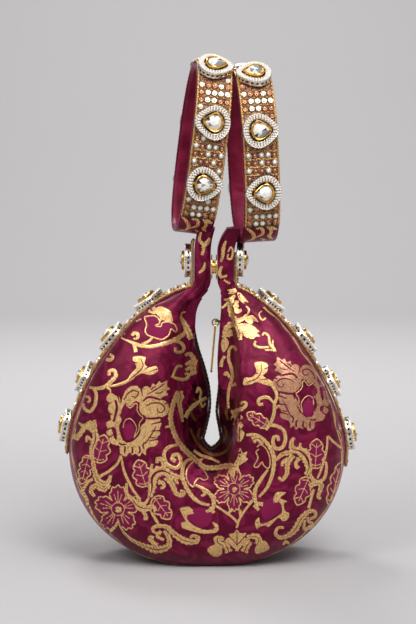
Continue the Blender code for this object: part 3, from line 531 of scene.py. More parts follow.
def makeShell():
    look = shellLook
    times, count = look["stationsTimes"], look["facePoints"]
    rim, mouth, sizes = pouchStations(times)
    swollen = shoulderSwell(times)
    loops = []
    for index, (start, end) in enumerate(zip(rim, mouth)):
        width = np.linalg.norm(end - start)
        inward = (end - start) / width
        loop = section(width, *(sizes[key][index] for key in ("depth", "face", "lip", "shift")), count)
        rows = np.arange(len(loop))
        share = np.minimum(rows, np.abs(2 * count + 4 - rows)) / count
        swell = look["swell"] * np.sin(np.pi * np.clip(share / look["swellShare"], 0, 1)) ** 1.5
        shift = look["rimShift"] * (1 - np.clip(share / look["rimShiftShare"], 0, 1))
        loop[:, 0] -= (swell + shift) * swollen[index]
        for first, last, height in look["lipBulges"]:    # the front lips roll over the zip
            along = np.clip((index / times - first) / (last - first), 0, 1)
            lipRows = (1 - look["lipStart"]) * count - 1
            roll = np.sin(np.pi * np.clip((rows - look["lipStart"] * count) / lipRows, 0, 1)) ** 2
            loop[:, 0] += height * np.sin(np.pi * along) ** 0.5 * roll
        flat = start + loop[:, :1] * inward
        loops.append(np.stack([flat[:, 0], loop[:, 1], flat[:, 1]], axis=1))
    grid = np.array(loops)
    for _ in range(4):    # rounds the small steps between stations
        grid[1:-1] = (grid[:-2] + 2 * grid[1:-1] + grid[2:]) / 4
    grid = grid + gridNormals(grid) * foldHeights(grid, count)[:, :, None]
    grid[:, :, 2] = np.maximum(grid[:, :, 2], 0.02)
    grid = sinkUnderHandles(grid)
    parts = Parts()
    verts, faces = loft(list(grid))
    ends = [tuple(range(grid.shape[1]))[::-1],
            tuple(len(verts) - grid.shape[1] + index for index in range(grid.shape[1]))]
    parts.add(verts, faces + ends)
    (first, last), (easeIn, easeOut) = look["shadedStations"], look["shadedEase"]
    for index, face in enumerate(faces):    # the mouth's inner walls, behind the rolled lip, take the silk with painted shade
        station, row = divmod(face[0], grid.shape[1])
        ease = min((station / times - first) / easeIn, (last - station / times) / easeOut, 1)
        reach = count * look["shadedShare"] * ease + 2
        parts.kinds[index] = int(ease > 0 and abs(row - (count + 2)) < reach)
    mesh = makeMesh("pouch_shell", parts, [silkBrocade, shadedSilk], 60)
    piece = addPiece("pouch_shell", mesh, "pouch", ["pouch_body"])
    return grid, BVHTree.FromPolygons(verts.tolist(), faces)


shellGrid, shellTree = makeShell()
print("pouch shell made")


# Lines that the trims and medallions follow

def lineNormals(points):
    # unit normals of a polyline in XZ, stretched so that an offset line keeps its distance at each bend
    steps = np.diff(points, axis=0)
    steps /= np.linalg.norm(steps, axis=1)[:, None]
    before, after = np.vstack([steps[:1], steps]), np.vstack([steps, steps[-1:]])
    tangent = before + after
    tangent /= np.linalg.norm(tangent, axis=1)[:, None]
    stretch = 1 / np.maximum(np.sum(tangent * after, axis=1), 0.5)
    return np.stack([tangent[:, 1], -tangent[:, 0]], axis=1) * stretch[:, None]


class Path:
    # a line in space with its outward direction at each distance, and one direction across it
    def __init__(self, points, outward, across):
        self.line, self.outward = Line(points), np.asarray(outward, float)
        self.across = np.asarray(across, float)

    def at(self, distance):
        outward = np.array([np.interp(distance, self.line.reached, column) for column in self.outward.T])
        return self.line.at(distance), outward / np.linalg.norm(outward)

    def matrix(self, distance, across=0.0, height=0.0, flipped=False):
        # x across the band, y along it, z outwards
        point, outward = self.at(distance)
        sign = -1 if flipped else 1
        along = np.cross(outward, self.across)
        made = np.eye(4)
        made[:3, 0], made[:3, 1], made[:3, 2] = self.across * sign, along * sign, outward
        made[:3, 3] = point + self.across * across + outward * height
        return made


def rimPath(side, offset, times):
    rim = pouchStations(times)[0]
    flat = rim + lineNormals(rim) * (offset + shellLook["rimShift"] * shoulderSwell(times)[:, None])
    half = len(rim) // 2
    picked = slice(0, half + 1) if side == "left" else slice(None, half - 1, -1)
    points = np.array([(x, 0, z) for x, z in flat[picked]])
    normals = lineNormals(rim)[picked]
    outward = np.array([(x, 0, z) for x, z in normals]) / np.linalg.norm(normals, axis=1)[:, None]
    return Path(points, outward, (0, 1, 0))


def handleOutline(count):
    # from the bracelet's lowest point, round the front and over the crest, as (y, z)
    points = []
    power = 2 / handleShape["fullness"]
    for index in range(count):
        angle = 2 * math.pi * index / count - math.pi / 2
        along, up = math.cos(angle), math.sin(angle)
        halfDepth, halfHeight = handleShape["depth"] / 2, handleShape["height"] / 2
        points.append((-math.copysign(abs(along) ** power, along) * halfDepth,
                       math.copysign(abs(up) ** power, up) * halfHeight + halfHeight))
    return np.array(points)


def handlePath(side):
    fine = handleOutline(720)
    line = Line(np.vstack([fine, fine[:1]]))
    spots = np.linspace(0, line.length, 361)
    tangent = line.at((spots + 0.5) % line.length) - line.at((spots - 0.5) % line.length)
    tangent /= np.linalg.norm(tangent, axis=1)[:, None]
    points = line.at(spots)
    matrix = np.array(handleMatrix(side))
    placed = np.array([(0, y, z) for y, z in points]) @ matrix[:3, :3].T + matrix[:3, 3]
    outward = np.array([(0, -tz, ty) for ty, tz in tangent]) @ matrix[:3, :3].T
    return Path(placed, outward, matrix[:3, 0])


# Medallions: a pear-shaped gallery with a pave halo, a gold bezel and a large flat-backed stone

medallionShape = {
    "length": 24.5, "width": 26, "point": 0.42, "innerPoint": 0.62, "innerStart": 0.76, "innerEase": 0.1,
    "slots": 22, "slotShare": 0.5, "bridges": 5,
    "haloRows": ((0.945, 38, 0.84), (0.845, 31, 0.88), (0.755, 27, 0.78)),    # share, stones, their radius
    "girdle": 0.47, "stoneTop": 8.7,
    "handlePlaces": (19, 60, 101), "seat": 1.7, "rimSeatGap": 0.6,
    "rimPlaces": {"left": (-18, 31, 67, 101, 137), "right": (-19.8, 24, 59, 95, 133)},
}


def drop(angle, share):
    # a point of the pear outline at this share of the medallion's size, tip at +x; it gets pointier inwards
    shape = medallionShape
    inner = min(max((shape["innerStart"] - share) / shape["innerEase"], 0), 1)
    point = shape["point"] + inner * (shape["innerPoint"] - shape["point"])
    narrowing = 1 - point * math.cos(angle / 2) ** 4
    return (math.cos(angle) * shape["length"] / 2 * share,
            math.sin(angle) * shape["width"] / 2 * narrowing * share)


def dropRing(share, height, count=56):
    return np.array([(*drop(2 * math.pi * index / count, share), height) for index in range(count)])


def addDropSweep(parts, profile, kind, ring=True, count=56):
    verts, faces = loft([dropRing(share, height, count) for share, height in profile], ring=ring)
    parts.add(verts, faces, kind)


def addTurned(parts, profile, count, kind, spot=(0, 0, 0), turn=0.0, cap=True):
    # turns (radius, height) steps about z at a spot
    loops = []
    for radius, height in profile:
        angles = np.arange(count) / count * 2 * math.pi + turn
        loops.append(np.stack([np.cos(angles) * radius + spot[0], np.sin(angles) * radius + spot[1],
                               np.full(count, height + spot[2])], axis=1))
    verts, faces = loft(loops)
    if cap:
        faces.append(tuple(range(len(verts) - count, len(verts))))
    parts.add(verts, faces, kind)


def makeSettingMesh():
    shape = medallionShape
    parts = Parts()
    silver, gold, clear, hollow, gapShade = range(5)
    addDropSweep(parts, [(1.0, 0.0), (1.01, 0.45), (1.0, 1.4), (0.9, 1.4), (0.9, 0.0)], silver)
    rail = [(1.0, 2.8), (1.02, 3.5), (1.01, 4.1), (0.99, 4.5), (0.97, 4.4), (0.93, 4.1), (0.9, 2.8)]
    addDropSweep(parts, rail, silver)
    addDropSweep(parts, [(0.93, 0.2), (0.93, 4.0)], hollow, ring=False)
    for index in range(shape["slots"]):
        start = 2 * math.pi * index / shape["slots"]
        width = 2 * math.pi / shape["slots"] * (1 - shape["slotShare"])
        corners = [drop(start + width * side, share)
                   for side, share in ((0, 0.995), (1, 0.995), (1, 0.92), (0, 0.92))]
        verts, faces = loft([np.array([(*corner, height) for corner in corners]) for height in (1.2, 3.0)])
        parts.add(verts, faces, silver)
    # the plate under the halo stones, drawn warm and dark as painted shade in their gaps
    addDropSweep(parts, [(0.98, 4.25), (0.70, 4.35)], gapShade, ring=False)
    addDropSweep(parts, [(0.71, 4.3), (0.70, 4.7), (0.685, 4.65), (0.68, 4.2), (0.68, 2.9)], silver,
                 ring=False)
    addDropSweep(parts, [(0.69, 3.0), (0.53, 3.0)], hollow, ring=False)
    for share, count, size in shape["haloRows"]:
        ring = dropRing(share, 4.4, 200)
        outline = Line(np.vstack([ring, ring[:1]]))
        for index in range(count):
            spot = outline.at((index + (0.5 if share < 0.9 else 0)) / count * outline.length)
            addTurned(parts, [(size, -0.2), (size * 0.92, 0.3), (size * 0.5, 0.72)], 7, clear, spot,
                      turn=index * 0.7)
    for index in range(shape["bridges"]):
        angle = 2 * math.pi * (index + 0.5) / shape["bridges"]
        x, y = drop(angle, 0.64)
        sideways = np.array([-math.sin(angle), math.cos(angle)]) * 0.8
        outward = np.array([math.cos(angle), math.sin(angle)])
        corners = [np.array([x, y]) + outward * out + sideways * side
                   for out, side in ((-1, -1), (1, -1), (1, 1), (-1, 1))]
        verts, faces = loft([np.array([(*corner, height) for corner in corners]) for height in (3.0, 4.3)])
        parts.add(verts, faces + [(4, 5, 6, 7)], gold)
    addDropSweep(parts, [(0.60, 2.9), (0.60, 6.0), (0.585, 6.7), (0.55, 7.0), (0.515, 6.9), (0.485, 6.4),
                         (0.47, 5.8), (0.47, 4.8)], gold, ring=False)
    materials = [silverPlate, goldPlate, cutCrystal, slotShade, haloGapShade]
    return makeMesh("medallion_setting", parts, materials, 35)


def makeStoneMesh(seed):
    # a flat uncut-diamond shape: few large uneven facets over a bright foil, each facet painted with one
    # reflection tone
    rng = random.Random(seed)
    parts = Parts()
    shape = medallionShape
    girdle = [(*drop(2 * math.pi * index / 12, shape["girdle"]), 5.9) for index in range(12)]
    crown = []
    for index in range(6):
        angle = 2 * math.pi * (index + 0.5) / 6 + rng.uniform(-0.2, 0.2)
        x, y = drop(angle, rng.uniform(0.20, 0.30))
        crown.append((x, y, shape["stoneTop"] - rng.uniform(0.1, 0.7)))
    top = [(rng.uniform(-0.6, 0.6), rng.uniform(-0.8, 0.8), shape["stoneTop"])]
    verts = girdle + crown + top
    faces, kinds = [], []
    for index in range(6):
        low, following = 2 * index, (2 * index + 2) % 12
        ahead = (index + 1) % 6
        for face in ((low, low + 1, 12 + index), (low + 1, following, 12 + index),
                     (following, 12 + ahead, 12 + index), (12 + index, 12 + ahead, 18)):
            faces.append(face)
            # painted reflection per facet: mostly bright, some grey, a few dark
            kinds.append(rng.choices((0, 1, 2), weights=(12, 4, 1))[0])
    for face, kind in zip(faces, kinds):
        parts.add([verts[corner] for corner in face], [(0, 1, 2)], kind)
    base, bottom = loft([np.array(girdle) * (1, 1, 0) + (0, 0, 5.3), np.array(girdle)])
    parts.add(base, bottom + [tuple(range(12))[::-1]], 0)
    return makeMesh(f"polki_stone_{seed}", parts, [cutCrystal, crystalGreyReflection, crystalDarkReflection], 5)


def medallionPlaces():
    shape = medallionShape
    for side in sides:
        roof = rimPath(side, 1.4, 1)
        base = rimPath(side, 0, 1)
        corner = base.line.near((pouchShape["hornMiddle"] + sides[side] * pouchShape["hornReach"], 0,
                                 pouchShape["shoulderLevel"]))
        for index, reach in enumerate(shape["rimPlaces"][side]):
            share = (corner + reach) / base.line.length
            spot = share * roof.line.length
            ahead, behind = roof.line.at(spot + 4), roof.line.at(spot - 4)
            along = (ahead - behind) / np.linalg.norm(ahead - behind)
            outward = np.cross(along, (0, 1, 0))
            if outward[0] * sides[side] < 0:
                outward = -outward
            sign = -1 if index % 2 else 1
            matrix = np.eye(4)
            matrix[:3, 0] = np.array((0, 1, 0)) * sign
            matrix[:3, 1] = np.cross(outward, (0, 1, 0)) * sign
            matrix[:3, 2] = outward
            matrix[:3, 3] = roof.line.at(spot) + outward * shape["rimSeatGap"]
            yield f"{side}_side_{index + 1}", matrix
    labels = ("front_low", "front_mid", "front_top", "back_top", "back_mid", "back_low")
    for side in sides:
        path = handlePath(side)
        middle = path.line.length / 2
        spots = sorted(middle + sign * reach for reach in shape["handlePlaces"] for sign in (-1, 1))
        for index, (label, spot) in enumerate(zip(labels, spots)):
            flipped = (index % 2 == 0) == (side == "right")
            yield f"{side}_{label}", path.matrix(spot, 0, shape["seat"], flipped)


def makeMedallions():
    setting = makeSettingMesh()
    stones = [makeStoneMesh(seed) for seed in range(5)]
    for index, (label, matrix) in enumerate(medallionPlaces()):
        placed = Matrix(matrix.tolist())
        placed.translation = placed.translation * mm
        addPiece(f"{label}_pave_setting", setting, "pouch", [f"{label}_setting"], placed)
        addPiece(f"{label}_polki", stones[index % 5], "pouch", [f"{label}_stone"], placed)


makeMedallions()
print("medallions made")


# Jewelled trims: rows of stones between gold threads, with a twisted cord on both edges

trimLook = {"width": 24, "floor": 0.4, "top": 1.4, "pitch": 5.2, "columns": 5, "columnPitch": 4.5,
            "cordRadius": 0.75, "cordTwist": 3.2, "threadRadius": 0.24,
            "rows": ("BAABB", "BAAAA", "ABBAB", "BBABA", "ABAAB"),
            "topMargin": {"left": 9, "right": 20}, "endLevel": {"left": 77, "right": 68}, "handleBare": 31}


def addPlaced(parts, template, matrix):
    # a copy of gathered parts at a place
    for verts, faces, kind in template:
        parts.add(verts @ matrix[:3, :3].T + matrix[:3, 3], faces, kind)


def template(*turned):
    # turned shapes kept for copying: (profile, sides, material, turn)
    made = []
    for profile, count, kind, turn in turned:
        gathered = Parts()
        addTurned(gathered, profile, count, kind, turn=turn)
        made.append((gathered.verts[0], gathered.faces, kind))
    return made


netKind, goldKind, copperKind, silverKind, clearKind, champagneKind, darkKind = range(7)
trimMaterials = [trimNet, gimpCord, copperGold, silverPlate, cutCrystal, champagneStone, darkMetalAndGapShade]
# a crystal in a silver cup, a copper ring with a small stone, and the little ones between and at the ends
beads = {
    "A": template(([(2.0, 0), (2.1, 0.8), (1.9, 1.25), (1.6, 1.0)], 10, silverKind, 0),
                  # a dark ring in the gap round the stone: painted shade
                  ([(1.62, 0.95), (1.3, 1.05)], 10, darkKind, 0),
                  ([(1.42, 0.9), (1.15, 1.7), (0.5, 2.1)], 7, clearKind, 0.2)),
    "B": template(([(2.0, 0), (2.1, 0.8), (1.75, 1.4), (1.35, 1.3), (1.1, 0.8)], 10, copperKind, 0),
                  ([(1.0, 0.8), (0.75, 1.45), (0.35, 1.7)], 7, champagneKind, 0.3)),
    "seed": template(([(0.5, 0), (0.65, 0.35), (0.42, 0.8), (0.12, 0.95)], 7, goldKind, 0)),
    "dark": template(([(1.25, 0), (1.5, 0.7), (1.1, 1.5), (0.4, 1.9)], 8, darkKind, 0)),
}


def addCord(parts, centres, outward, across, radius, kind, twist, sidesCount=8):
    # a two-ply twisted cord along its centres
    loops = []
    reached = np.concatenate([[0], np.cumsum(np.linalg.norm(np.diff(centres, axis=0), axis=1))])
    angles = np.arange(sidesCount) / sidesCount * 2 * math.pi
    for centre, out, distance in zip(centres, outward, reached):
        swell = radius * (1 + 0.2 * np.cos(2 * angles - 2 * math.pi * distance / twist))
        loops.append(centre + (np.cos(angles) * swell)[:, None] * out
                     + (np.sin(angles) * swell)[:, None] * across)
    verts, faces = loft(loops)
    parts.add(verts, faces + [tuple(range(sidesCount)),
                              tuple(len(verts) - sidesCount + index for index in range(sidesCount))], kind)


def underMedallion(across, along, size, flipped):
    # whether something of this radius, measured from a medallion's middle, would lie under it
    x, y = (-across, -along) if flipped else (across, along)
    distance, angle = math.hypot(x, y), math.atan2(y / medallionShape["width"], x / medallionShape["length"])
    return distance < math.hypot(*drop(angle, 1.0)) + size


def makeTrim(name, path, start, end, medallions, darkEnds, replaced):
    # medallions: (distance along the path, whether it is flipped)
    look = trimLook
    parts = Parts()
    spots = np.linspace(start, end, int((end - start) / 1.5) + 2)
    half = look["width"] / 2
    floor, top = look["floor"], look["top"]
    profile = ((-half, floor), (-half, top - 0.3), (-half + 1, top), (0, top + 0.1), (half - 1, top),
               (half, top - 0.3), (half, floor))
    base = []
    for spot in spots:
        point, outward = path.at(spot)
        base.append([point + path.across * across + outward * height for across, height in profile])
    verts, faces = loft([np.array(loop) for loop in base])
    parts.add(verts, faces + [tuple(range(7)), tuple(len(verts) - 7 + index for index in range(7))], netKind)
    fine = np.linspace(start, end, int((end - start) / 0.7))
    placed = [path.at(spot) for spot in fine]
    outward = np.array([out for _, out in placed])
    for edge in (-1, 1):
        centres = np.array([point + path.across * edge * (half - 0.5) + out * (look["top"] + 0.15)
                            for point, out in placed])
        addCord(parts, centres, outward, path.across, look["cordRadius"], goldKind, look["cordTwist"])
    count = max(int(round((end - start) / look["pitch"])), 1)
    edges = np.linspace(start, end, count + 1)
    columns = (np.arange(look["columns"]) - (look["columns"] - 1) / 2) * look["columnPitch"]

    def free(across, spot, size):
        return not any(underMedallion(across, spot - middle, size, flipped)
                       for middle, flipped in medallions)

    for row, spot in enumerate((edges[:-1] + edges[1:]) / 2):
        for column, across in enumerate(columns):
            kind = look["rows"][row % len(look["rows"])][column]
            if free(across, spot, 1.0):
                addPlaced(parts, beads[kind], path.matrix(spot, across, look["top"]))
    for spot in edges[1:-1]:
        run = [across for across in np.linspace(-half + 1.5, half - 1.5, 30) if free(across, spot, 0.4)]
        for across in columns[:-1] + look["columnPitch"] / 2:
            if free(across, spot, 0.2):
                addPlaced(parts, beads["seed"], path.matrix(spot, across, look["top"] + 0.1))
        if len(run) > 3:
            pieces = np.split(np.array(run), np.where(np.diff(run) > 1.2)[0] + 1)
            for piece in pieces:
                if len(piece) > 2:
                    point, out = path.at(spot)
                    along = np.cross(out, path.across)
                    for shift in (-0.35, 0.35):
                        root = point + out * (look["top"] + 0.35) + along * shift
                        centres = np.array([root + path.across * across for across in piece])
                        addCord(parts, centres, [out] * len(piece), along, look["threadRadius"], goldKind,
                                2.0, 6)
    for spot in darkEnds:
        for across in np.linspace(-half + 1.4, half - 1.4, 9):
            addPlaced(parts, beads["dark"], path.matrix(spot, across, look["top"] - 0.6))
    return addPiece(name, makeMesh(name, parts, trimMaterials, 28), "pouch", replaced)


def makeTrims():
    look = trimLook
    for side, sign in sides.items():
        path = rimPath(side, 0, 6)
        corner = path.line.near((pouchShape["hornMiddle"] + sign * pouchShape["hornReach"], 0,
                                 pouchShape["shoulderLevel"]))
        end = np.interp(-look["endLevel"][side], -path.line.points[:, 2], path.line.reached)
        middles = [(corner + reach, index % 2 == 1)
                   for index, reach in enumerate(medallionShape["rimPlaces"][side])]
        makeTrim(f"{side}_side_jewel_trim", path, look["topMargin"][side], end, middles, [end - 0.2],
                 [f"{side}_side_trim"])
        ring = handlePath(side)
        bare, length = look["handleBare"], ring.line.length
        spots = sorted(length / 2 + turn * reach
                       for reach in medallionShape["handlePlaces"] for turn in (-1, 1))
        middles = [(spot, (index % 2 == 0) == (side == "right")) for index, spot in enumerate(spots)]
        darkEnds = [bare + 0.2, length - bare - 0.2]
        makeTrim(f"{side}_handle_jewel_trim", ring, bare, length - bare, middles, darkEnds,
                 [f"{side}_handle_trim"])


makeTrims()
print("trims made")


# Handles: a stiff band in brocade, softly padded at its bare foot, and a satin lining

handleLook = {"steps": 220, "padding": 0.9, "bareReach": trimLook["handleBare"], "flatFoot": 6, "trimEase": 6,
              "footEase": 10, "wrinkle": 0.3, "liningWidth": 23, "liningThickness": 0.8, "liningGap": 0.3,
              "liningWrinkle": 0.28, "threadLift": 0.25, "threadReach": 11.3}
# scrolls on the bare foot: widths, then each point's distance from the lowest point and distance across
footStems = (
    ((1, 2.4, 2.8, 1.4), (12, -10, 18, -5, 24, -6, 29, -11)),
    ((1.2, 2.4, 2.4, 1.4), (19, -4, 23, 1, 28, 0, 28, -4)),
    ((1, 2.8, 2.2, 1), (15, 9, 20, 6, 25, 7, 30, 3)),
    ((1.4, 3, 1.4), (26, 11, 28, 7, 30, 5)),
    ((0.8, 2, 1.2), (11, 0, 15, 3, 18, 0)),
)


def footPadding(spot, length):
    # 0 under the trim and at the lowest point, 1 between them
    look, away = handleLook, min(spot, length - spot)
    underTrim = min(max((look["bareReach"] - away) / look["trimEase"], 0), 1)
    return underTrim * min(max((away - look["flatFoot"]) / look["footEase"], 0), 1)


def bandSection(spot, length):
    half, depth = handleShape["bandWidth"] / 2, handleShape["bandThickness"]
    padding = footPadding(spot, length)
    face = []
    for across in np.linspace(0.9 - half, half - 0.9, 12):
        soft = noise.noise(Vector((spot / 7, across / 6, length))) * handleLook["wrinkle"]
        face.append((across, padding * (handleLook["padding"] * (1 - (across / half) ** 2) + soft)))
    side = [(half - 0.3, -0.3), (half, -0.9), (half, 0.9 - depth), (half - 0.3, 0.3 - depth),
            (half - 0.9, -depth)]
    return face + side + [(-across, height) for across, height in side[::-1]]


def liningSection(spot, length):
    half = handleLook["liningWidth"] / 2
    high = -handleShape["bandThickness"] - handleLook["liningGap"]
    low = high - handleLook["liningThickness"]
    skin = []
    for across in np.linspace(half - 0.3, 0.3 - half, 12):
        wrinkle = handleLook["liningWrinkle"] * noise.noise(Vector((spot / 2.6, across / 16, length)))
        skin.append((across, low + wrinkle))
    return [(-half, high), (half, high), (half, low + 0.3)] + skin + [(-half, low + 0.3)]


def makeRing(name, side, section, made, replaced):
    path = handlePath(side)
    loops = []
    for spot in np.linspace(0, path.line.length, handleLook["steps"], endpoint=False):
        point, outward = path.at(spot)
        loops.append(np.array([point + path.across * across + outward * height
                               for across, height in section(spot, path.line.length)]))
    parts = Parts()
    parts.add(*loft(loops, ring=True))
    addPiece(name, makeMesh(name, parts, [made], 50), "pouch", [replaced])


def alongStroke(curve, spots, widths):
    # a stroke's centres, its directions to the side and its half widths
    centres = curve.at(spots)
    tangents = np.gradient(centres, axis=0)
    tangents /= np.linalg.norm(tangents, axis=1)[:, None]
    sideways = np.stack([-tangents[:, 1], tangents[:, 0]], axis=1)
    return centres, sideways, np.interp(spots / curve.length, np.linspace(0, 1, len(widths)), widths) / 2


def makeFootScrolls(side):
    look, path = handleLook, handlePath(side)
    parts = Parts()
    length, furthest, half = path.line.length, handleLook["threadReach"], handleShape["bandWidth"] / 2
    for end, turn in ((0, 1), (length, -1)):
        for widths, points in footStems:
            curve = Line(smoothThrough(points, 8))
            spots = np.linspace(0, curve.length, int(curve.length) + 2)
            rows = []
            for centre, sideways, reach in zip(*alongStroke(curve, spots, widths)):
                row = []
                for share, lift in ((-1, 0.3), (0, 1), (1, 0.3)):
                    away, across = centre + sideways * reach * share
                    across = min(max(across, -furthest), furthest)
                    point, outward = path.at(abs(end + turn * away))
                    padding = footPadding(away, length) * look["padding"] * (1 - (across / half) ** 2)
                    height = padding + look["threadLift"] * lift
                    row.append(point + path.across * across + outward * height)
                rows.append(np.array(row))
            parts.add(*loft(rows, around=False))
    name = f"{side}_foot_scrolls"
    addPiece(name, makeMesh(name, parts, [zariGold], 60), "pouch")


for side in sides:
    makeRing(f"{side}_brocade_band", side, bandSection, silkBrocade, f"{side}_handle_band")
    makeRing(f"{side}_satin_lining", side, liningSection, satinLining, f"{side}_handle_lining")
    makeFootScrolls(side)
print("handles made")


# Zip: tape and single teeth along the mouth; slider, ring, pull and snap keep their measured shapes

zipLook = {"stations": (6, 46), "toothStations": (7, 44), "times": 6, "tapeHalf": 6.0, "tapeFloor": 0.3,
           "tapeTop": 0.9, "toothPitch": 1.5, "toothReach": (-0.4, 2.35), "toothHalf": 0.7,
           "toothHeights": (0.95, 2.0, 2.35)}


def mouthPath(first, last):
    times = zipLook["times"]
    _, mouth, sizes = pouchStations(times)
    picked = slice(first * times, last * times + 1)
    lift = -lineNormals(mouth)[picked]
    points = np.array([(x, y, z) for (x, z), y in zip(mouth[picked], sizes["shift"][picked])])
    outward = np.array([(x, 0, z) for x, z in lift]) / np.linalg.norm(lift, axis=1)[:, None]
    return Path(points, outward, (0, 1, 0))


def makeZip():
    look = zipLook
    path = mouthPath(*look["stations"])
    floor, top = look["tapeFloor"], look["tapeTop"]
    profile = ((-1, floor), (-1, top), (0, top), (1, top), (1, floor), (0, floor))
    loops = []
    for spot in np.arange(0, path.line.length, 2):
        point, outward = path.at(spot)
        loops.append(np.array([point + path.across * across * look["tapeHalf"] + outward * height
                               for across, height in profile]))
    parts = Parts()
    verts, faces = loft(loops)
    parts.add(verts, faces + [tuple(range(6)), tuple(len(verts) - 6 + index for index in range(6))])
    mesh = makeMesh("woven_zip_tape", parts, [zipTape])
    addPiece("woven_zip_tape", mesh, "pouch", ["zip_tape"])

    path = mouthPath(*look["toothStations"])
    (near, far), half = look["toothReach"], look["toothHalf"]
    loops = [np.array([(near + inset, -half + inset, height), (far - inset, -half + inset, height),
                       (far - inset, half - inset, height), (near + inset, half - inset, height)])
             for height, inset in zip(look["toothHeights"], (0, 0, 0.22))]
    verts, faces = loft(loops)
    tooth = [(verts, faces + [(8, 9, 10, 11)], 0)]
    parts = Parts()
    for index, spot in enumerate(np.arange(1, path.line.length - 1, look["toothPitch"])):
        addPlaced(parts, tooth, path.matrix(spot, flipped=bool(index % 2)))
    # the teeth's brass is drawn dark as painted shadow
    addPiece("zip_teeth", makeMesh("zip_teeth", parts, [shadowedBrass], 20), "pouch", ["zip_chain"])


makeZip()
for node, made in (("zip_slider", agedBrass), ("zip_pull_ring", goldPlate), ("zip_pull_tab", goldPlate),
                   ("snap_socket", goldPlate), ("snap_stud", goldPlate)):
    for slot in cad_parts[node].material_slots:
        slot.material = made
print("zip made")


# Camera: the photograph's view, level with the pouch and a little above it

cameraLook = {"mmPerPixel": 0.71, "frame": (416, 624), "target": (0.7, 0, 176), "distance": 1350,
              "elevation": 6, "sensor": 36}


def cameraAxes():
    tilt = math.radians(cameraLook["elevation"])
    up = np.array([0, math.sin(tilt), math.cos(tilt)])
    away = np.array([0, -math.cos(tilt), math.sin(tilt)])
    return np.array(cameraLook["target"]) + away * cameraLook["distance"], up


def makeCamera():
    spot, _ = cameraAxes()
    lens = bpy.data.cameras.new("camera")
    lens.sensor_width = cameraLook["sensor"]
    tall = cameraLook["frame"][1] * cameraLook["mmPerPixel"]
    lens.lens = cameraLook["sensor"] * cameraLook["distance"] / tall
    lens.clip_end = 20
    camera = bpy.data.objects.new("camera", lens)
    bpy.context.collection.objects.link(camera)
    camera.location = spot * mm
    camera.rotation_euler = (math.radians(90 - cameraLook["elevation"]), 0, 0)
    bpy.context.scene.camera = camera


makeCamera()


def throughPixel(tree, x, y):
    # the surface point and normal under a point of the photograph's frame
    spot, up = cameraAxes()
    width, height = cameraLook["frame"]
    aim = (np.array(cameraLook["target"]) + np.array([1, 0, 0]) * (x - width / 2) * cameraLook["mmPerPixel"]
           + up * (height / 2 - y) * cameraLook["mmPerPixel"])
    hit, normal, _, _ = tree.ray_cast(Vector(spot), Vector(aim - spot).normalized())
    return hit, normal


# Brocade: gold scrolls, palmettes and leaves woven over the silk, drawn in the photograph's 416 by 624 frame

brocadeLook = {"lift": 0.22, "edgeLift": 0.08, "step": 1.4, "patchStep": 3.0, "longestJump": 7.0,
               "floor": 0.02, "serration": 0.2, "toothLength": 4.6, "outlineWidth": 0.95, "veinWidth": 0.7,
               "middle": (5, 90), "steepest": 0.26, "veinedFrom": 3.9, "veinLeaves": 3.4, "veinShare": 0.5,
               "over": (0, -0.06, 0.03, 0.12, 0.2, 0.28, -0.03)}    # how much each kind lies above the gold
goldThread, roseThread, roseGoldThread, wineThread, topRose, topGold, shadowedThread = range(7)
threadMaterials = [zariGold, roseSilk, roseGold, silkBrocade, roseSilk, zariGold, shadowedGold]

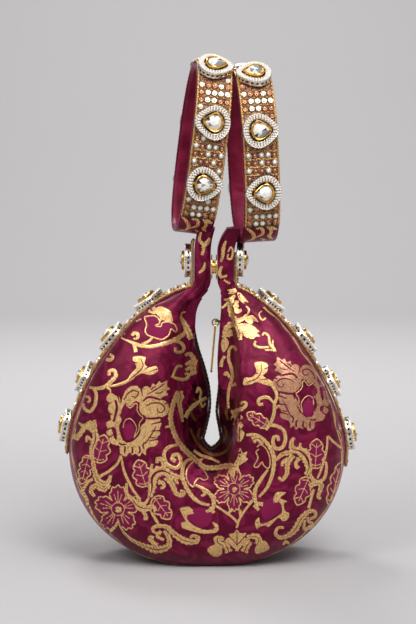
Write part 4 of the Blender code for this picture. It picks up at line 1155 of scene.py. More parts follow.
# stems: widths in millimetres, then the points x, y, x, y of the frame; outlines: their points alone
leftStems = (
    ((0.8, 2.2, 3.4, 2.4), (121, 320.5, 131, 310.5, 139.5, 304, 147.5, 302.5, 153, 307, 155.5, 314)),
    ((3.8, 3.2, 2.4, 1.2), (139, 321, 136.5, 315, 139.5, 310, 147.5, 310.5, 154, 313.5)),
    ((1.2, 2.8, 2, 0.8), (163, 290.5, 168, 288.5, 176.5, 284.5, 184, 282.5)),
    ((0.8, 2.4, 2.6, 2.8, 3.2, 2.2, 1), (121, 338, 133.5, 343, 142, 346, 152, 346.5, 167, 343, 175, 339.5,
     182.5, 335, 185.5, 330, 184, 324, 181, 318, 182, 313, 185.5, 312)),
    ((1.6, 2.2), (152.5, 337.5, 149, 341, 142, 344.5)),
    ((2, 2.8), (133.5, 343, 135, 348, 136, 352)),
    ((2.2, 2.4, 1.4), (132, 335.5, 134, 333, 137.5, 334, 137.5, 338, 133.5, 339)),
    ((1.4, 2.2, 2.4, 1.8), (158, 345.5, 167, 342, 174, 341, 181, 343, 184, 348, 181, 352, 175.5, 351.5,
     175.5, 347.5)),
    ((3.4, 3.4, 2.4, 1.8), (110, 341, 106.5, 346, 104.8, 352, 106, 358.5, 110.5, 360, 113, 356.5, 110,
     354.5)),
    ((1.6, 2.6, 3, 2.8, 2.2), (88, 387, 95, 388.5, 101, 388, 106, 386, 109.5, 383, 114, 378.5, 116, 375,
     114, 370.5, 109.5, 371, 109, 375.5)),
    ((1.2, 2.4, 1.8), (109, 386.5, 116, 385.3, 123.5, 383, 130, 379.5, 134, 377)),
    ((1.6, 0.8), (107, 388, 110, 389.5, 110.5, 393)),
    ((2.2, 2.4, 2.4, 2, 1.8), (93, 387.5, 96, 393, 96, 400, 94.5, 406, 90, 411.5, 85, 409, 83, 403.5, 84.5,
     398, 88.5, 397, 90, 400.5, 87.5, 402.5)),
    ((1.2, 2, 1.6), (83.5, 382, 82.5, 392, 81, 403, 76.5, 412.5, 72, 419.5, 68, 427)),
    ((2.5, 3.2, 3.5, 2.6), (73.5, 430, 76, 438.5, 80, 434, 84, 428.5, 91.5, 421)),
    ((2.4, 3, 5.5, 4, 2.4, 3, 4.5, 3.5, 2), (94.5, 420, 95, 430, 95.5, 440, 92, 450, 93, 460, 94.5, 470, 97,
     478, 102, 483, 108, 482.5, 111, 475)),
    ((2, 3.6, 4, 2.4), (94.5, 496.5, 91, 490.5, 95.5, 485.5, 104, 489.5, 110, 484.5)),
    ((2.4, 2.2), (82.5, 490.5, 87.5, 482.5, 93, 479)),
    ((2.8, 2.4, 1.8), (76.5, 486.5, 83.5, 493.5, 87.5, 501.5, 85.5, 505, 81, 499)),
    ((1.6, 3, 2), (69, 448.5, 72, 458, 69.5, 465, 71.5, 472)),
    ((1.8, 2.4, 1.2), (86.5, 442, 87.5, 436.5, 91.5, 440.5)),
    ((1.6, 2, 2), (121, 455.5, 117, 464, 109, 471, 98, 477.5)),
    ((1.4, 2, 1.6), (121, 455.5, 123.5, 469, 126.5, 477, 133.5, 490.5, 140.5, 499.5)),
    ((1.8, 2.6, 3, 2.6, 1.4), (126.5, 483, 127, 493.5, 135.5, 502.5, 144.5, 503.5, 149, 497.5)),
    ((2.4, 4.6, 5, 3.4, 2.2), (131, 497, 138, 506, 147, 508.5, 153, 506, 156, 511)),
    ((1.6, 2.8, 2), (142, 510, 147, 518, 143.5, 518.5)),
    ((1.2, 2, 2), (149, 508, 153, 515, 159, 525)),
    ((3, 6, 8, 7, 4, 2.4), (150, 497, 152, 487, 152, 478, 157, 472, 164, 471, 172, 475, 182, 478)),
    ((4.6, 3.4, 3, 2), (160, 472, 164, 466, 162, 460, 157.5, 458.5, 157, 463)),
    ((4.2, 3.6, 3, 2), (166, 477, 172, 484, 176, 493, 182, 495.5, 184, 492, 180, 491)),
    ((3.4, 2.6, 1.8), (158, 482, 163, 483, 164, 487, 160.5, 488)),
    ((3, 2.6, 1.6), (169, 475, 175, 479, 178, 484)),
    ((2.4, 1.6), (152, 474, 151, 469, 152.5, 464)),
    ((2, 2.4, 2.6, 2.6, 2.8, 2.6), (178.5, 444.5, 168, 447.5, 164, 454.5, 167, 464, 175.5, 468, 180.5, 464,
     179.5, 456, 174.5, 454.5, 172, 459, 175.5, 461)),
    ((1.6, 2.6, 3, 2.8, 1.6), (196, 458, 186.5, 461, 182.5, 469, 183.5, 481, 191.5, 495.5, 201, 503, 210,
     505)),
    ((0.8, 1, 0.9), (203, 459, 193, 462, 187, 470, 187, 480, 193, 487, 195, 482, 199, 478, 204, 480, 208,
     478, 205, 472, 199, 463)),
    ((1.6, 2.6, 3, 2), (195.5, 485, 206, 490.5, 213, 498.5, 213, 508, 206, 512)),
    ((2, 2.4), (210, 507, 214, 513)),
    ((2.4, 2.2, 1.4), (203, 489, 205, 494, 201, 496)),
    ((1.2, 2.4, 3, 4.2, 4.6, 3, 1.8), (161, 534.5, 154, 532, 153, 528, 158, 526, 167, 527, 172, 532, 180.5,
     538.5, 187.5, 541.5, 196.5, 541.5, 198, 537.5, 192.5, 535.5, 190.5, 538.5)),
    ((0.8, 2, 3, 5.5, 4, 2), (119, 524, 123.5, 532, 131.5, 539.5, 143.5, 545.5, 157, 549.5, 168, 546.5, 169,
     538.5, 164, 530.5)),
    ((2.2, 3, 2.2), (158, 545, 151, 541, 150, 537, 154, 538)),
    ((2, 2.4), (164, 540, 157, 536, 161, 531)),
    ((1.6, 2), (118.5, 520, 115, 527, 110, 531.5)),
    ((2.4, 4.2, 4.4, 3.6, 2.6), (181.5, 318, 184, 323, 187, 329, 190, 336, 194, 347.5, 198, 356.5)),
    ((2, 3.6, 2.6), (185, 355.5, 190, 354, 196.5, 362.5)),
    ((2, 3.6, 2.6), (185.5, 365, 190, 362.5, 196.5, 364.5)),
    ((2, 3.4, 2.4), (185.5, 370.5, 190, 368, 196, 368.5)),
    ((1.8, 3.2, 2.4), (188, 376, 192, 373, 196.5, 372)),
    ((1.4, 2.2, 2.4, 1.6), (171, 376, 177, 378.5, 184, 379.5, 188.5, 376.5, 187, 373.5, 184.5, 374.5)),
    ((1.8, 1.6), (173, 376, 175, 370, 178, 366, 182, 366.5)),
    ((5, 4.4, 3, 2.6, 1.6), (179, 391.5, 180.5, 397, 179, 402, 181, 412, 182.5, 422)),
    ((2.4, 3.2, 3.4, 3.2, 3.4, 3.8, 3.8, 3.8, 3.4, 3.8, 4.4), (177.5, 391, 173.5, 403, 170.5, 416.5, 172,
     426, 176, 437.5, 183, 448, 192.5, 457, 203.5, 466.8, 214.5, 467.8, 227.5, 466, 237, 467)),
    ((1.4, 2), (165, 427.5, 170, 426.5, 174, 432)),
    ((2, 2.2, 1.6), (193.5, 450.5, 201.5, 455.5, 211, 458.5, 219.5, 462.5)),
    ((3, 3, 2.4), (185, 417.5, 191, 408, 199.5, 401.5, 209, 396.5)),
    ((1.6, 1.8, 1.4), (196.5, 393, 198.5, 387.5, 201, 392.5, 200, 398, 202, 407, 205.5, 403)),
    ((1.4, 2.4, 2), (201, 232, 199.5, 240, 204, 246, 202, 255)),
    ((2, 3.2, 1.4), (210, 238, 207, 243, 202, 248)),
    ((1, 2.4, 1.4), (205, 262, 204, 268, 199, 273)),
)
palmetteLeaves = (
    (107.5, 395.5, 111, 393, 115.5, 395.5, 119.5, 397.5, 121, 404, 122.5, 397.5, 125.5, 391, 131, 386.3,
     137.5, 386.3, 141, 390, 144, 387, 147.5, 386.3, 150.5, 388, 152.5, 383.5, 156, 385, 159, 381.3, 162,
     383, 167, 380.5, 167, 386, 170, 389, 166.3, 391, 168, 395, 163.8, 396.3, 160, 399.5, 164, 400.5, 167.5,
     403, 169, 409, 167, 414, 162, 417, 158, 416.5, 160.5, 420, 161.3, 424, 159.5, 429, 160, 434, 157,
     437.5, 158, 442, 155, 446, 149.5, 447, 146.3, 450, 145.5, 455, 142, 452.5, 139.5, 456.3, 135.5, 453.5,
     132.5, 455, 129.5, 452.5, 126, 456.3, 122.5, 455, 120, 452.5, 119.5, 446.3, 115.5, 445, 111, 443, 109,
     437.5, 106.5, 432.5, 107.5, 427.5, 106, 423.5, 109, 421, 111, 420, 110, 413.5, 108, 409, 109, 403.5,
     106.5, 399.5),
)
palmetteWine = (
    (121.5, 410, 125.5, 403, 130.5, 405.8, 135, 400.5, 140, 403, 139.5, 409, 142.5, 413.8, 146.3, 417, 145,
     422.5, 141.3, 426.3, 140.5, 433, 135, 440, 128, 443, 122.5, 440, 120, 433, 119, 426, 121.5, 420, 120,
     415),
    (111.5, 427, 114.5, 426, 117, 432, 117, 440, 113.5, 437),
)
palmetteGaps = (
    ((0.9, 1.4, 1.3, 0.9), (146, 406, 152, 403, 160, 403.5, 164.5, 408, 161.5, 412.5, 157, 411, 158, 408)),
    ((0.9, 1.4, 1.3, 0.9), (124, 400, 127.5, 394, 133, 390.5, 138.5, 392.5, 136, 397, 131.5, 396)),
    ((1.6, 1), (105, 405, 111.5, 402.5)),
    ((1.6, 1), (105.5, 416, 112.5, 413.5)),
    ((1.6, 1), (106, 430, 113, 427.5)),
    ((1.6, 1), (108, 437.5, 114, 434.5)),
    ((1.6, 0.9), (162, 421.5, 152, 424)),
    ((1.6, 0.9), (161.5, 430.5, 151, 431)),
    ((1.6, 0.9), (158.5, 439, 149, 441)),
    ((1.4, 0.9), (170, 402, 164, 404)),
    ((1.4, 0.9), (141, 387.5, 142.5, 396)),
    ((1.2, 0.8), (117, 394, 119.5, 402)),
    ((2.1, 2.7, 2.1), (115.5, 400, 117, 407.5, 115.5, 415, 113.8, 422)),
    ((1.6, 2.4, 1.6), (143, 401, 149, 397, 158, 399, 160, 400)),
    ((1.9, 2.4, 1.9), (146, 418, 151, 418.5, 159, 418)),
    ((1, 1.4, 1), (147, 394.5, 155, 390, 164, 384)),
    ((1, 1.3, 1), (151, 390, 153.5, 387, 156, 387)),
    ((1, 1.3, 1), (155, 393, 160, 393, 163, 391)),
    ((1, 1.4, 1), (146, 443, 151, 435, 156, 427)),
    ((1, 1.3, 1), (150, 437, 153.5, 438, 156, 437)),
    ((1.4, 1.8, 1.4), (125, 446, 125, 449.5, 124.5, 453)),
    ((1.4, 1.8, 1.4), (132, 446.5, 132.5, 450, 132, 453.5)),
    ((1.4, 1.8, 1.4), (139, 446, 140, 449.5, 139, 453.5)),
    ((1.3, 1.6, 1.3), (146, 442, 143, 444.5, 144, 449)),
    ((1.3, 1.6, 1.3), (119, 443, 122, 444.5, 126, 444)),
)
palmetteStems = (
    ((0.9, 0.9, 0.9), (126, 404.5, 130.5, 408, 135, 403.5, 137.5, 405, 137, 410, 140, 415, 143, 418, 139.5,
     423, 138.5, 431, 134, 437.5)),
    ((0.8, 0.9, 0.8), (123, 428, 124.5, 421.5, 129, 418.5, 133.5, 421.5, 136.5, 428, 134.5, 436)),
)
palmetteRose = (
    (122.5, 430, 124.5, 423.8, 128.8, 421.3, 133, 423.8, 136, 429.5, 134.5, 437, 128.8, 441.5, 124, 439),
)
palmetteGold = (
    (128.3, 424.5, 130, 427, 129.3, 430.8, 127.5, 430.5, 126.8, 427),
)
leftPatches = (
    (155.5, 308.5, 161, 306.5, 166, 308.5, 170.5, 311.5, 172, 316.5, 172.5, 321.5, 167, 322.5, 163, 320,
     159, 321.5, 160, 317.5, 157, 314.5),
    (111, 336, 114, 332.5, 120, 333, 123.5, 331.5, 125, 334, 122, 336, 120, 340, 114, 340.5),
    (133, 357, 139, 356, 145.5, 357.5, 144.5, 363.5, 149, 367.5, 156, 366, 157.5, 371.5, 150, 375, 141.5,
     373.5, 131.5, 379, 126.5, 382, 130.5, 374.5, 136.5, 367.5, 133.5, 361.5),
    (78, 422, 84, 424, 91, 421, 95, 425, 93, 433, 88, 430, 83, 428.5),
    (180.5, 508, 189.5, 507, 195.5, 514, 187.5, 515, 188.5, 521, 196.5, 527, 207, 530, 215, 528, 212, 522,
     218, 525, 217, 532, 203, 533.5, 188.5, 530, 182.5, 528, 181.5, 523, 185.5, 521, 181.5, 513),
)
# wine veins in the single leaves of the shoulders
leafGaps = (
    ((0.7, 1.2, 0.8), (129, 380, 138, 372.5, 143, 366, 141, 359)),
    ((1.2, 0.8), (133, 362, 137.5, 363)),
    ((1.2, 0.8), (149, 366.5, 144.5, 369.5)),
    ((1.2, 0.8), (157, 369, 150, 371.5)),
    ((0.7, 1.2, 0.8), (246, 382.5, 256, 379, 261, 372, 261.5, 364.5)),
    ((1.2, 0.8), (269, 367.5, 264, 369)),
    ((1.2, 0.8), (253, 372.5, 258, 373.5)),
    ((1.2, 0.8), (268, 379, 261.5, 379.5)),
    ((0.7, 1.1, 0.8), (228, 535, 233, 540, 237, 545)),
    ((0.7, 1.1, 0.8), (246, 535, 241.5, 540, 237, 545)),
    ((0.7, 1.1, 0.8), (237, 531, 237, 538, 237, 545)),
)
# leaf bodies without an outline, beside the gold edges of the low leaves
bareRose = (
    (262, 508, 266, 501, 273, 497, 279, 500, 281, 506, 279, 512, 273, 517, 266, 520, 262, 516),
    (189, 512, 195, 508, 203, 508, 210, 512, 212, 519, 207, 526, 198, 526, 190, 520),
    (247, 369, 250, 366, 254, 369, 253, 374, 249, 376),
)
# threads drawn darker with painted shade, in the hollow round the slit
shadowedStems = (
    ((1, 2, 2.4, 2.4, 2, 1), (190, 428, 196, 441, 205, 451, 215, 455, 226, 451, 232, 441)),
    ((1.4, 2.6, 1.2), (188, 405, 191, 414, 196, 421)),
    ((1.2, 2.4, 1.2), (200, 428, 198, 436, 203, 441)),
    ((1.2, 2.2, 1), (193, 398, 199, 404, 201, 412)),
    ((1, 2, 1.2), (224, 425, 227, 435, 223, 443)),
    ((1, 2.2, 1.2), (229, 400, 226, 412, 228, 420)),
)
leftRose = (
    (144.5, 317.5, 149, 316, 155, 316, 159, 319.5, 159.5, 323.5, 155, 325.5, 161, 326.5, 162, 323, 168, 322,
     174.5, 324.5, 177, 329.5, 175.5, 332, 171, 329, 169, 335, 162, 339.5, 154, 337.5, 147.5, 335, 145, 331,
     146.5, 324.5),
    (203, 459, 193, 462, 187, 470, 187, 480, 193, 487, 195, 482, 199, 478, 204, 480, 208, 478, 205, 472,
     199, 463),
)
rightStems = (
    ((1.4, 2, 2.2), (220, 310, 226, 304.5, 234, 296)),
    ((1.2, 2), (224, 300, 230, 298.5, 235.5, 295.5)),
    ((2, 3.4, 3.8, 3.4, 1.6), (234, 296, 231, 302.5, 230, 308.5, 232.5, 316, 237, 320.5, 243, 318.5, 247,
     314.5)),
    ((2.4, 3.6, 3, 1.8), (237, 300.5, 236, 307.5, 237.5, 312, 240.5, 310.5, 240, 309)),
    ((3, 3.6, 4.2, 4.6, 2.6), (224, 338, 226, 329, 231, 324.5, 235.5, 324.5, 238.5, 330, 240.5, 340)),
    ((2.6, 2.4), (228, 337, 230.5, 330.5, 231.5, 336)),
    ((1.4, 1.8, 2, 1.6), (262.5, 335.5, 264, 333, 268.5, 336, 270, 344, 275.5, 351)),
    ((1.8, 1.8, 1.4), (255.5, 341, 254.5, 345, 260, 347.5, 269, 347)),
    ((1.2, 1.4), (273, 340, 273, 346, 276, 351)),
    ((1.6, 1.4), (265, 350, 270, 350, 276, 351)),
    ((1.8, 2, 2.4, 2.4, 2, 1.6), (236.5, 350.5, 233.5, 346.5, 229.5, 349.5, 228.5, 359, 231, 367, 232.5,
     376, 229.5, 387, 228, 398, 228.5, 408.5)),
    ((1.8, 2.4), (231.5, 386, 236.5, 383.5)),
    ((1.8, 2.2), (230, 378, 226.5, 372.5, 224.5, 375.5)),
    ((2, 2.6), (225, 356, 222, 361, 221, 367)),
    ((1.6, 2.4, 2.2, 2.4, 2.4, 2), (271, 384.5, 275.5, 391, 277, 397, 274.5, 404, 274, 413.5, 270.5, 423,
     266, 430)),
    ((1.2, 2.2, 2.4, 2), (273.5, 403, 269, 398, 263, 397.5, 258.5, 400, 259, 404.5, 263, 404)),
    ((1.6, 1), (276, 408, 280, 405, 283, 407.5)),
    ((3.6, 3, 2.4, 1.8), (231.5, 413, 238, 410.5, 243.5, 408, 246.5, 404, 243, 402, 240.5, 404)),
    ((2.4, 2.4, 2.6, 2.6, 2.6, 2.2), (269, 425, 277, 426, 284, 431, 285.3, 440, 282, 447.5, 276, 448.5, 273,
     443.5, 274, 437, 278, 437, 278.5, 441)),
    ((1.8, 2.6, 3, 2.8, 2.4, 1.6), (246.5, 435, 255.5, 434.8, 264, 440, 271, 449, 274, 459.5, 272.3, 474.5,
     267, 487.5, 259, 497)),
    ((1.6, 2.6, 2.8, 2), (268, 469.5, 261.5, 478.5, 255.5, 489, 255, 499, 257.5, 507)),
    ((2.4, 2.2), (254, 505, 259, 510)),
    ((2.4, 2.8), (256, 503, 263, 504.5)),
    ((5, 4), (252.5, 440, 258, 438, 264, 443)),
    ((0.8, 0.9, 0.8), (257, 447, 261, 444.5, 267, 450, 270, 459, 269, 468, 264, 466, 262, 462, 258, 467,
     254, 466, 258, 458, 256, 452, 259, 449)),
    ((2, 3.4, 5, 7.5, 7.5, 5, 2.6), (294.5, 437.5, 291.5, 442, 292.5, 449, 300, 451, 307, 458, 309, 468,
     306, 475)),
    ((4, 3, 2), (292, 452.5, 283, 454, 276, 460)),
    ((4, 3.6, 2.8, 2), (293, 455, 287.5, 463.5, 287, 473.5, 282, 480, 278.5, 477)),
    ((3, 2.4, 1.8), (299, 458, 296, 463, 296.5, 468, 299, 466)),
    ((2.6, 2), (288, 458.5, 283, 462, 282, 466)),
    ((2.6, 2.4, 1.8), (309, 472, 313.5, 480, 319.5, 481.5, 324.5, 477.5, 326.5, 467.5, 325.5, 461.5)),
    ((3.6, 4, 3, 2), (309, 486, 314, 483.5, 321, 484, 319.5, 492, 318, 497, 321, 498.5)),
    ((1.4, 1.8, 1.4), (327.5, 436, 326.5, 449.5, 322.5, 465.5, 317.5, 478.5)),
    ((1.6, 1.8), (327.5, 436, 335.5, 443.5, 341.5, 448)),
    ((1.8, 2), (314, 489, 311, 499, 308.5, 508)),
    ((2.4, 1.4), (301.5, 450, 300, 446, 300.5, 443)),
    ((1.8, 2.4, 3.2, 4.6, 4, 2.6, 1.8), (284, 527.5, 278, 528, 275.5, 533.5, 280, 537.5, 288, 535.5, 295,
     529.5, 301, 519, 308.5, 511.5, 314.5, 511.5, 315.5, 516, 310, 519)),
    ((1.4, 2.8, 2.2), (305, 520, 304, 529, 310, 527, 318, 521)),
    ((2, 2), (307.5, 517, 309, 522, 313, 523)),
    ((1.4, 1.8, 1.4), (236.5, 528, 237.5, 523, 229.5, 515, 216, 506)),
    ((1.4, 1.8, 1.4), (236.5, 528, 239.5, 519, 246.5, 508, 253.5, 500)),
    ((1.8, 2.2), (228.5, 513.5, 231.5, 509.5)),
    ((1.8, 2.2), (240.5, 516, 240, 509.5)),
    ((4.5, 5, 2.4), (223.5, 546, 218, 542.5, 217.5, 538, 224, 539)),
    ((2.6, 4.6, 4.4), (247, 537.5, 254.5, 536, 259, 539, 257, 544.5)),
    ((5, 4), (229, 552, 226, 545, 224, 541)),
    ((5, 4), (244, 552, 247, 545.5, 250.5, 541)),
    ((2.4, 3), (237, 551, 237.5, 544.5)),
    ((1.2, 2.4, 1.6), (283, 545, 285.5, 541.5, 289, 543.5)),
    ((1.2, 2.6, 2.6, 1.4), (226, 241, 223.5, 248, 222.5, 256, 221, 262)),
    ((1, 1.6, 1.2), (228, 252, 231, 247, 233, 252, 231, 259, 227.5, 258, 228.5, 254)),
    ((1.6, 2.6, 2.2, 1.4), (222, 266, 219.5, 272, 221.5, 277, 227, 275.5)),
    ((1.6, 1.4), (224, 280, 230, 283.5)),
    ((0.8, 1.6, 1), (246, 306, 249, 310, 247, 316)),
    ((0.8, 1.4), (262, 311, 259, 314, 262, 320, 266, 318)),
)
rightPatches = (
    (227, 290, 232, 289, 236, 289, 236.5, 292, 233, 294, 228, 293.5, 230, 292),
    (237.5, 292.5, 241.5, 294, 244.5, 297.5, 248.5, 302.5, 244, 301.5, 244.5, 304, 240.5, 301, 238.5,
     297.5),
    (244.5, 318.5, 250, 315.5, 254, 316, 258.5, 322, 254, 321, 251.5, 324, 247.5, 323),
    (239, 324.5, 245.5, 323.5, 251.5, 325, 256.8, 329, 259.3, 332, 256.5, 332.5, 260, 336.5, 256, 336.5,
     253, 339, 247.5, 338, 243, 334.5),
    (222, 340, 226, 338, 229, 343, 226, 350, 223, 352, 221, 346),
    (254.5, 363, 263, 362, 268, 365, 267, 372, 263, 376, 273, 382, 271, 386, 263, 384, 256.5, 382, 251.5,
     384, 243.5, 385, 244.5, 378, 252.5, 377, 256.5, 371),
    (231, 417, 237, 414, 243, 417, 240, 421, 243.5, 425, 241, 429, 244.5, 433, 242, 440, 238, 442, 236, 436,
     237, 429, 233, 424),
    (234.5, 464, 238, 456, 240, 448, 243, 453, 247, 451.5, 246, 457, 248, 459, 243, 463, 238, 466),
    (227, 465.5, 233, 467, 238.5, 465.5, 238, 471, 235.5, 478, 232.5, 479, 229, 474),
    (276, 493, 286, 492.5, 280, 498, 287, 501, 284, 504, 285, 511, 289, 513, 288, 519, 283, 521, 278, 518,
     269, 526.5, 264, 525.5, 258.5, 527.5, 257, 529.5, 255, 522, 259, 517.5, 260.5, 523.5, 269, 521.5, 277,
     516.5, 282, 512, 280, 502.5, 273, 504),
    (224.5, 541, 229, 537, 229, 534, 234, 533, 237, 529.5, 240, 533, 246, 533, 245, 537, 249, 541, 243, 545,
     239.5, 548.5, 237, 546.5, 234.5, 548.5, 230, 544),
    (207, 550, 213, 545, 218, 546, 222, 550, 221, 555, 214, 556.5),
    (255, 549, 258, 543, 264, 540.5, 268, 544, 269, 549, 262, 552.5, 256, 553.5),
)
# leaves: base, tip, width in pixels, lobes on each side
roseLeaves = (
    ((97, 463), (104.5, 435), 20, 3), ((89, 455), (81.5, 484), 14, 4), ((146, 487), (138, 460), 20, 3),
    ((154, 497), (170, 519), 18, 3), ((315, 469), (317, 439), 19, 3), ((309, 477), (297, 505), 17, 3),
    ((268, 426), (247, 413), 13, 3), ((330, 506), (341, 462), 14, 4),
)
# flowers: centre, radius in pixels, petals, turn in degrees
roseFlowers = (((118, 509), 23, 5, 90), ((234, 489), 21.5, 6, 90))
palmetteAxis = ((121, 455), (158, 385))
rightPalmetteAxis = ((313, 430), (285, 362))


def onShell(spot, lift, back):
    # a point of the photograph's frame laid on the shell's front, or straight behind it on the back
    hit, normal = throughPixel(shellTree, *spot)
    if hit is not None and back:
        hit, normal = shellTree.ray_cast(Vector((hit.x, 200, hit.z)), Vector((0, -1, 0)))[:2]
    if hit is None:
        return None
    if normal.y * (1 if back else -1) < 0:
        normal = -normal
    middle = brocadeLook["middle"]
    facesOut = normal.x * (hit.x - middle[0]) + normal.z * (hit.z - middle[1]) > 0
    if facesOut and abs(normal.y) < brocadeLook["steepest"]:    # so steep that the pattern would smear
        return None
    return hit + normal * lift


def together(points):
    # whether points all lie on the cloth and close to each other, so that nothing spans a gap
    if any(point is None for point in points):
        return False
    return all((start - end).length < brocadeLook["longestJump"] for start, end in zip(points, points[1:]))


def addStroke(parts, widths, points, kind, back, steps=8):
    look = brocadeLook
    curve = Line(smoothThrough(points, steps))
    spots = np.linspace(0, curve.length, max(int(curve.length / look["step"]), 2) + 1)
    centres, sideways, reach = alongStroke(curve, spots, widths)
    reach = reach / cameraLook["mmPerPixel"]
    reach = reach * (1 + look["serration"] * np.sin(spots * 2 * np.pi / look["toothLength"]) * (reach > 1.9))
    lift = look["lift"] + look["over"][kind]
    edge = look["edgeLift"]
    profile = ((-1, edge), (-0.62, lift * 0.8), (0, lift), (0.62, lift * 0.8), (1, edge))
    run = []
    for centre, side, half in zip(centres, sideways, reach):
        row = [onShell(centre + side * half * share, height, back) for share, height in profile]
        if together(row) and (not run or together([row[2], run[-1][2]])):
            run.append(row)
            continue
        addRun(parts, run, kind)
        run = [row] if together(row) else []
    addRun(parts, run, kind)


def aboveFloor(points):
    return np.maximum(np.array(points), (-math.inf, -math.inf, brocadeLook["floor"]))


def addRun(parts, run, kind):
    if len(run) > 1:
        verts, faces = loft([aboveFloor(row) for row in run], around=False)
        parts.add(verts, faces, kind)


def closedCurve(outline, steps=4):
    outline = np.reshape(outline, (-1, 2))
    knots = [outline[-1], *outline, outline[0], outline[1]]
    return smoothThrough(knots, steps)[steps:steps * (len(outline) + 1)]


def insideOutline(points, ring):
    x, y = points[:, :1], points[:, 1:]
    after = np.roll(ring, -1, axis=0)
    crosses = (ring[:, 1] > y) != (after[:, 1] > y)
    at = (after[:, 0] - ring[:, 0]) * (y - ring[:, 1]) / (after[:, 1] - ring[:, 1] + 1e-9) + ring[:, 0]
    return np.sum(crosses & (x < at), axis=1) % 2 == 1


def addPatch(parts, outline, kind, back, steps=4):
    # a filled shape of thread, draped over the cloth
    look = brocadeLook
    ring = closedCurve(outline, steps)
    axes = [np.arange(low + 1, high, look["patchStep"])
            for low, high in zip(ring.min(axis=0), ring.max(axis=0))]
    grid = np.stack(np.meshgrid(*axes), axis=-1).reshape(-1, 2)
    inner = [spot for spot in grid[insideOutline(grid, ring)]
             if np.linalg.norm(ring - spot, axis=1).min() > 1]
    spots, _, faces = delaunay_2d_cdt([Vector(spot) for spot in [*ring, *inner]], [],
                                      [list(range(len(ring)))], 1, 1e-4)[:3]
    edge, height = look["edgeLift"] + look["over"][kind], look["lift"] + look["over"][kind]
    onEdge = [np.linalg.norm(ring - np.array(spot), axis=1).min() < 0.3 for spot in spots]
    verts = [onShell(spot, edge if low else height, back) for spot, low in zip(spots, onEdge)]
    faces = [face for face in faces if together([verts[corner] for corner in (*face, face[0])])]
    used = sorted({corner for face in faces for corner in face})
    if used:
        order = {corner: index for index, corner in enumerate(used)}
        kept = [[order[corner] for corner in face] for face in faces]
        parts.add(aboveFloor([verts[corner] for corner in used]), kept, kind)


def addOutlined(parts, outline, back, steps=4):
    # a rose shape with a gold outline
    addPatch(parts, outline, roseThread, back, steps)
    ring = closedCurve(outline, steps)
    addStroke(parts, (brocadeLook["outlineWidth"],) * 2, [*ring, ring[0]], goldThread, back, 2)


def addLeaf(parts, base, tip, width, lobes, back):
    base, tip = np.array(base, float), np.array(tip, float)
    axis = tip - base
    sideways = np.array([-axis[1], axis[0]]) / np.linalg.norm(axis)
    shares = np.linspace(0.03, 0.97, 7 * lobes + 1)
    reach = width / 2 * np.sin(np.pi * shares ** 0.8) ** 0.55
    reach = reach * (0.62 + 0.38 * np.abs(np.sin(np.pi * lobes * shares)) ** 0.8)
    one = [base + axis * share + sideways * half for share, half in zip(shares, reach)]
    other = [base + axis * share - sideways * half for share, half in zip(shares, reach)]
    addOutlined(parts, one + [tip] + other[::-1], back, 2)
    vein = (brocadeLook["veinWidth"],) * 2
    addStroke(parts, vein, [base, base + axis * 0.5, base + axis * 0.86], goldThread, back)
    for lobe in range(lobes):
        share = (lobe + 0.35) / lobes
        for side in (-1, 1):
            root, end = base + axis * share * 0.9, base + axis * (share + 0.2 / lobes)
            addStroke(parts, vein, [root, end + sideways * side * width * 0.30], goldThread, back)


# shares of the radius; each petal's veins: swing in radians, reach
flowerLook = {"petalPoints": 24, "notch": 0.46, "serration": 0.055, "heart": 0.2, "ring": 0.28,
              "veinRoot": 0.26, "veins": ((-0.26, 0.66), (0, 0.80), (0.26, 0.66))}


def addFlower(parts, centre, radius, petals, turn, back):
    look = flowerLook
    centre = np.array(centre, float)
    count = look["petalPoints"] * petals
    angles = np.arange(count) / count * 2 * math.pi

    def spot(angle, reach):
        return centre + np.array([math.cos(angle), -math.sin(angle)]) * reach

    start = math.radians(turn)
    outline = []
    for angle in angles:
        petal = look["notch"] + (1 - look["notch"]) * abs(math.cos(petals * angle / 2)) ** 0.6
        teeth = 1 + look["serration"] * math.cos(5 * petals * angle)
        outline.append(spot(start + angle, radius * petal * teeth))
    addOutlined(parts, outline, back, 2)
    vein = (brocadeLook["veinWidth"],) * 2
    for petal in range(petals):
        middle = start + 2 * math.pi * petal / petals
        for swing, reach in look["veins"]:
            root = spot(middle + swing * 0.5, radius * look["veinRoot"])
            addStroke(parts, vein, [root, spot(middle + swing, radius * reach)], goldThread, back)
    addPatch(parts, [spot(angle, radius * look["heart"]) for angle in angles[::12]], goldThread, back)
    ring = [spot(angle, radius * look["ring"]) for angle in [*angles[::8], angles[0]]]
    addStroke(parts, vein, ring, goldThread, back, 3)


def palmetteAt(bottom, top):
    # carries the left palmette's points to another axis, mirrored
    old, new = complex(*palmetteAxis[0]), complex(*bottom)
    scale = (complex(*top) - new) / (complex(*palmetteAxis[1]) - old).conjugate()

    def carried(points):
        moved = [new + (complex(*point) - old).conjugate() * scale for point in np.reshape(points, (-1, 2))]
        return [(spot.real, spot.imag) for spot in moved]
    return carried


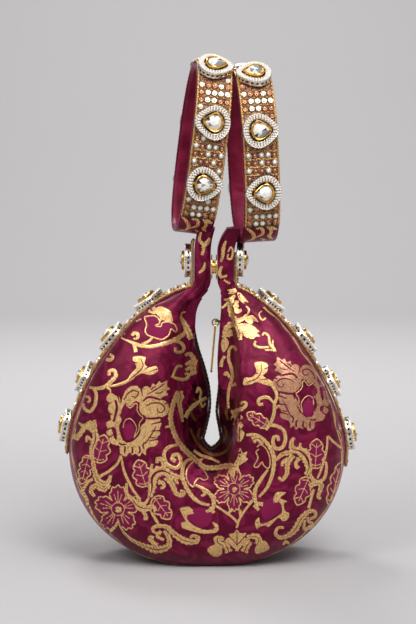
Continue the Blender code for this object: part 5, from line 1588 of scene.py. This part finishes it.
def weaveBrocade(name, back):
    look = brocadeLook
    parts = Parts()
    for outline in bareRose:
        addPatch(parts, outline, roseThread, back)
    for outline in leftRose:
        addOutlined(parts, outline, back)
    for leaf in roseLeaves:
        addLeaf(parts, *leaf, back)
    for flower in roseFlowers:
        addFlower(parts, *flower, back)
    for outline in (*leftPatches, *rightPatches):
        addPatch(parts, outline, goldThread, back)
    for lines, kind in ((leafGaps, wineThread), (() if back else shadowedStems, shadowedThread)):
        for widths, points in lines:
            addStroke(parts, widths, points, kind, back)
    for carried, leafThread in ((list, goldThread), (palmetteAt(*rightPalmetteAxis), roseGoldThread)):
        for outlines, kind in ((palmetteLeaves, leafThread), (palmetteWine, wineThread)):
            for outline in outlines:
                addPatch(parts, carried(outline), kind, back)
        for outline in palmetteRose:
            addPatch(parts, carried(outline), topRose, back)
        for outline in palmetteGold:
            addPatch(parts, carried(outline), topGold, back)
        for widths, points in palmetteGaps:
            addStroke(parts, widths, carried(points), wineThread, back)
        for widths, points in palmetteStems:
            addStroke(parts, widths, carried(points), topGold, back)
    for widths, points in (*leftStems, *rightStems):
        addStroke(parts, widths, points, goldThread, back)
        if max(widths) > look["veinedFrom"]:    # a wine vein down the broad leaves
            veins = [max(width - look["veinLeaves"], 0) * look["veinShare"] + 0.15 for width in widths]
            addStroke(parts, veins, points, wineThread, back)
    addPiece(name, makeMesh(name, parts, threadMaterials, 50), "pouch")


vineLook = {"stations": (9, 44), "wave": 1.8, "waves": 7, "middle": 6.5, "widths": (1.5, 1.7),
            "leaf": (6.5, 2.6), "curl": 2.8, "edgeDrop": 0.12}


def onGrid(spots, lift, back):
    # cloth points at (station, row from the rim), on the front or the back face
    count = shellLook["facePoints"]
    normals = gridNormals(shellGrid)
    points = []
    for station, row in spots:
        row = 2 * count + 4 - row if back else row
        low, floor = int(station), int(row)
        share, rest = station - low, row - floor
        blend = [(1 - share) * (1 - rest), share * (1 - rest), (1 - share) * rest, share * rest]
        corners = [(low, floor), (low + 1, floor), (low, floor + 1), (low + 1, floor + 1)]
        points.append(sum(weight * (shellGrid[corner] + normals[corner] * lift)
                          for weight, corner in zip(blend, corners)))
    return np.array(points)


def weaveVine(name, back):
    # a wavy stem with a leaf and a curl in every bend, all the way round beside the trim
    look = vineLook
    times = shellLook["stationsTimes"]
    parts = Parts()
    start, end = (station * times for station in look["stations"])

    def ribbon(spots, widths):
        centres = onGrid(spots, brocadeLook["lift"], back)
        middle = onGrid([(station, row + 0.5) for station, row in spots], brocadeLook["lift"], back) - centres
        along = np.gradient(centres, axis=0)
        normal = np.cross(along, middle)
        side = np.cross(normal, along)
        side /= np.linalg.norm(side, axis=1)[:, None]
        normal /= np.linalg.norm(normal, axis=1)[:, None]
        reach = np.interp(np.linspace(0, 1, len(spots)), np.linspace(0, 1, len(widths)), widths)[:, None] / 2
        outward = centres - np.array([brocadeLook["middle"][0], 0, brocadeLook["middle"][1]])
        sunk = np.sign(np.sum(normal * outward, axis=1))[:, None] * normal * look["edgeDrop"]
        rows = np.stack([centres - side * reach - sunk, centres, centres + side * reach - sunk], axis=1)
        parts.add(*loft([aboveFloor(row) for row in rows], around=False))

    def stem(station):
        turn = (station - start) / (end - start) * look["waves"] * 2 * math.pi
        return look["middle"] + look["wave"] * math.sin(turn)

    ribbon([(station, stem(station)) for station in np.arange(start, end, 1.0)], look["widths"])
    for bend in range(2 * look["waves"]):
        middle = start + (bend + 0.5) * (end - start) / (2 * look["waves"])
        outward = 1 if bend % 2 == 0 else -1
        row = stem(middle)
        leaf, broad = look["leaf"]
        ribbon([(middle + 0.5 + share * leaf, row - outward * share * look["curl"])
                for share in np.linspace(0, 1, 8)], (0.6, broad, broad * 0.8, 0.3))
        curl = [(middle - 1.5 - 3 * share + 2.5 * share * math.cos(4.5 * share),
                 row - outward * look["curl"] * math.sin(2.4 * share) * 0.9)
                for share in np.linspace(0, 1, 10)]
        ribbon(curl, (1.2, 1.8, 1.6, 2.2))
    addPiece(name, makeMesh(name, parts, [zariGold], 60), "pouch")


weaveBrocade("brocade_front", False)
weaveBrocade("brocade_back", True)
weaveVine("front_vine", False)
weaveVine("back_vine", True)
print("brocade woven")


# Stage and light

# metres, but for the sheet's millimetres under the sole
stageLook = {"paper": "#b6b4b5", "fill": "#f2f2f4", "fillLight": 0.42, "wallDistance": 2.5, "bend": 0.9,
             "front": 6, "wallHeight": 4, "halfWidth": 15, "underSole": 0.4}


def makeStage():
    # one sheet of pale paper that bends up into the wall
    parts = Parts()
    look = stageLook
    wall, bend, halfWidth = (look[key] / mm for key in ("wallDistance", "bend", "halfWidth"))
    profile = [(-look["front"] / mm, 0), (wall - bend, 0)]
    profile += [(wall - bend + bend * math.sin(turn), bend - bend * math.cos(turn))
                for turn in np.linspace(0, math.pi / 2, 24)[1:]]
    profile += [(wall, look["wallHeight"] / mm)]
    loops = [np.array([(-halfWidth, y, z), (halfWidth, y, z)]) for y, z in profile]
    verts, faces = loft(loops, around=False)
    parts.add(verts - np.array([0, 0, look["underSole"]]), faces)
    paper = newMaterial("backdropPaper", look["paper"], 0.9)    # matt seamless paper
    sheet = bpy.data.objects.new("backdrop", makeMesh("backdrop", parts, [paper], 60))
    bpy.context.collection.objects.link(sheet)


def addLamp(name, spot, aim, size, power):
    lamp = bpy.data.lights.new(name, "AREA")
    lamp.shape = "DISK"
    lamp.size = size
    lamp.energy = power
    made = bpy.data.objects.new(name, lamp)
    bpy.context.collection.objects.link(made)
    made.location = spot
    made.rotation_euler = (Vector(aim) - Vector(spot)).to_track_quat("-Z", "Y").to_euler()


def makeLight():
    world = bpy.data.worlds.new("studio")
    world.use_nodes = True
    fill = world.node_tree.nodes["Background"]
    fill.inputs["Color"].default_value = hexColour(stageLook["fill"])
    fill.inputs["Strength"].default_value = stageLook["fillLight"]
    bpy.context.scene.world = world
    addLamp("key", (0.5, -1.15, 1.5), (0, 0, 0.12), 0.9, 17)
    addLamp("side", (-0.75, -1.0, 1.2), (0, 0, 0.15), 0.6, 7)
    addLamp("top", (0.4, -0.5, 1.7), (0.2, -0.25, 0), 1.5, 11)    # a wide box overhead: shoulders and floor
    addLamp("back", (-0.3, 0.6, 1.2), (0, 0, 0.2), 0.4, 5)
    addLamp("wall", (0, 0.9, 1.4), (0, 2.4, 0.4), 1.2, 20)    # shines on the backdrop only


makeStage()
makeLight()
bpy.context.scene.view_settings.view_transform = "Standard"
print("stage, light and camera made")
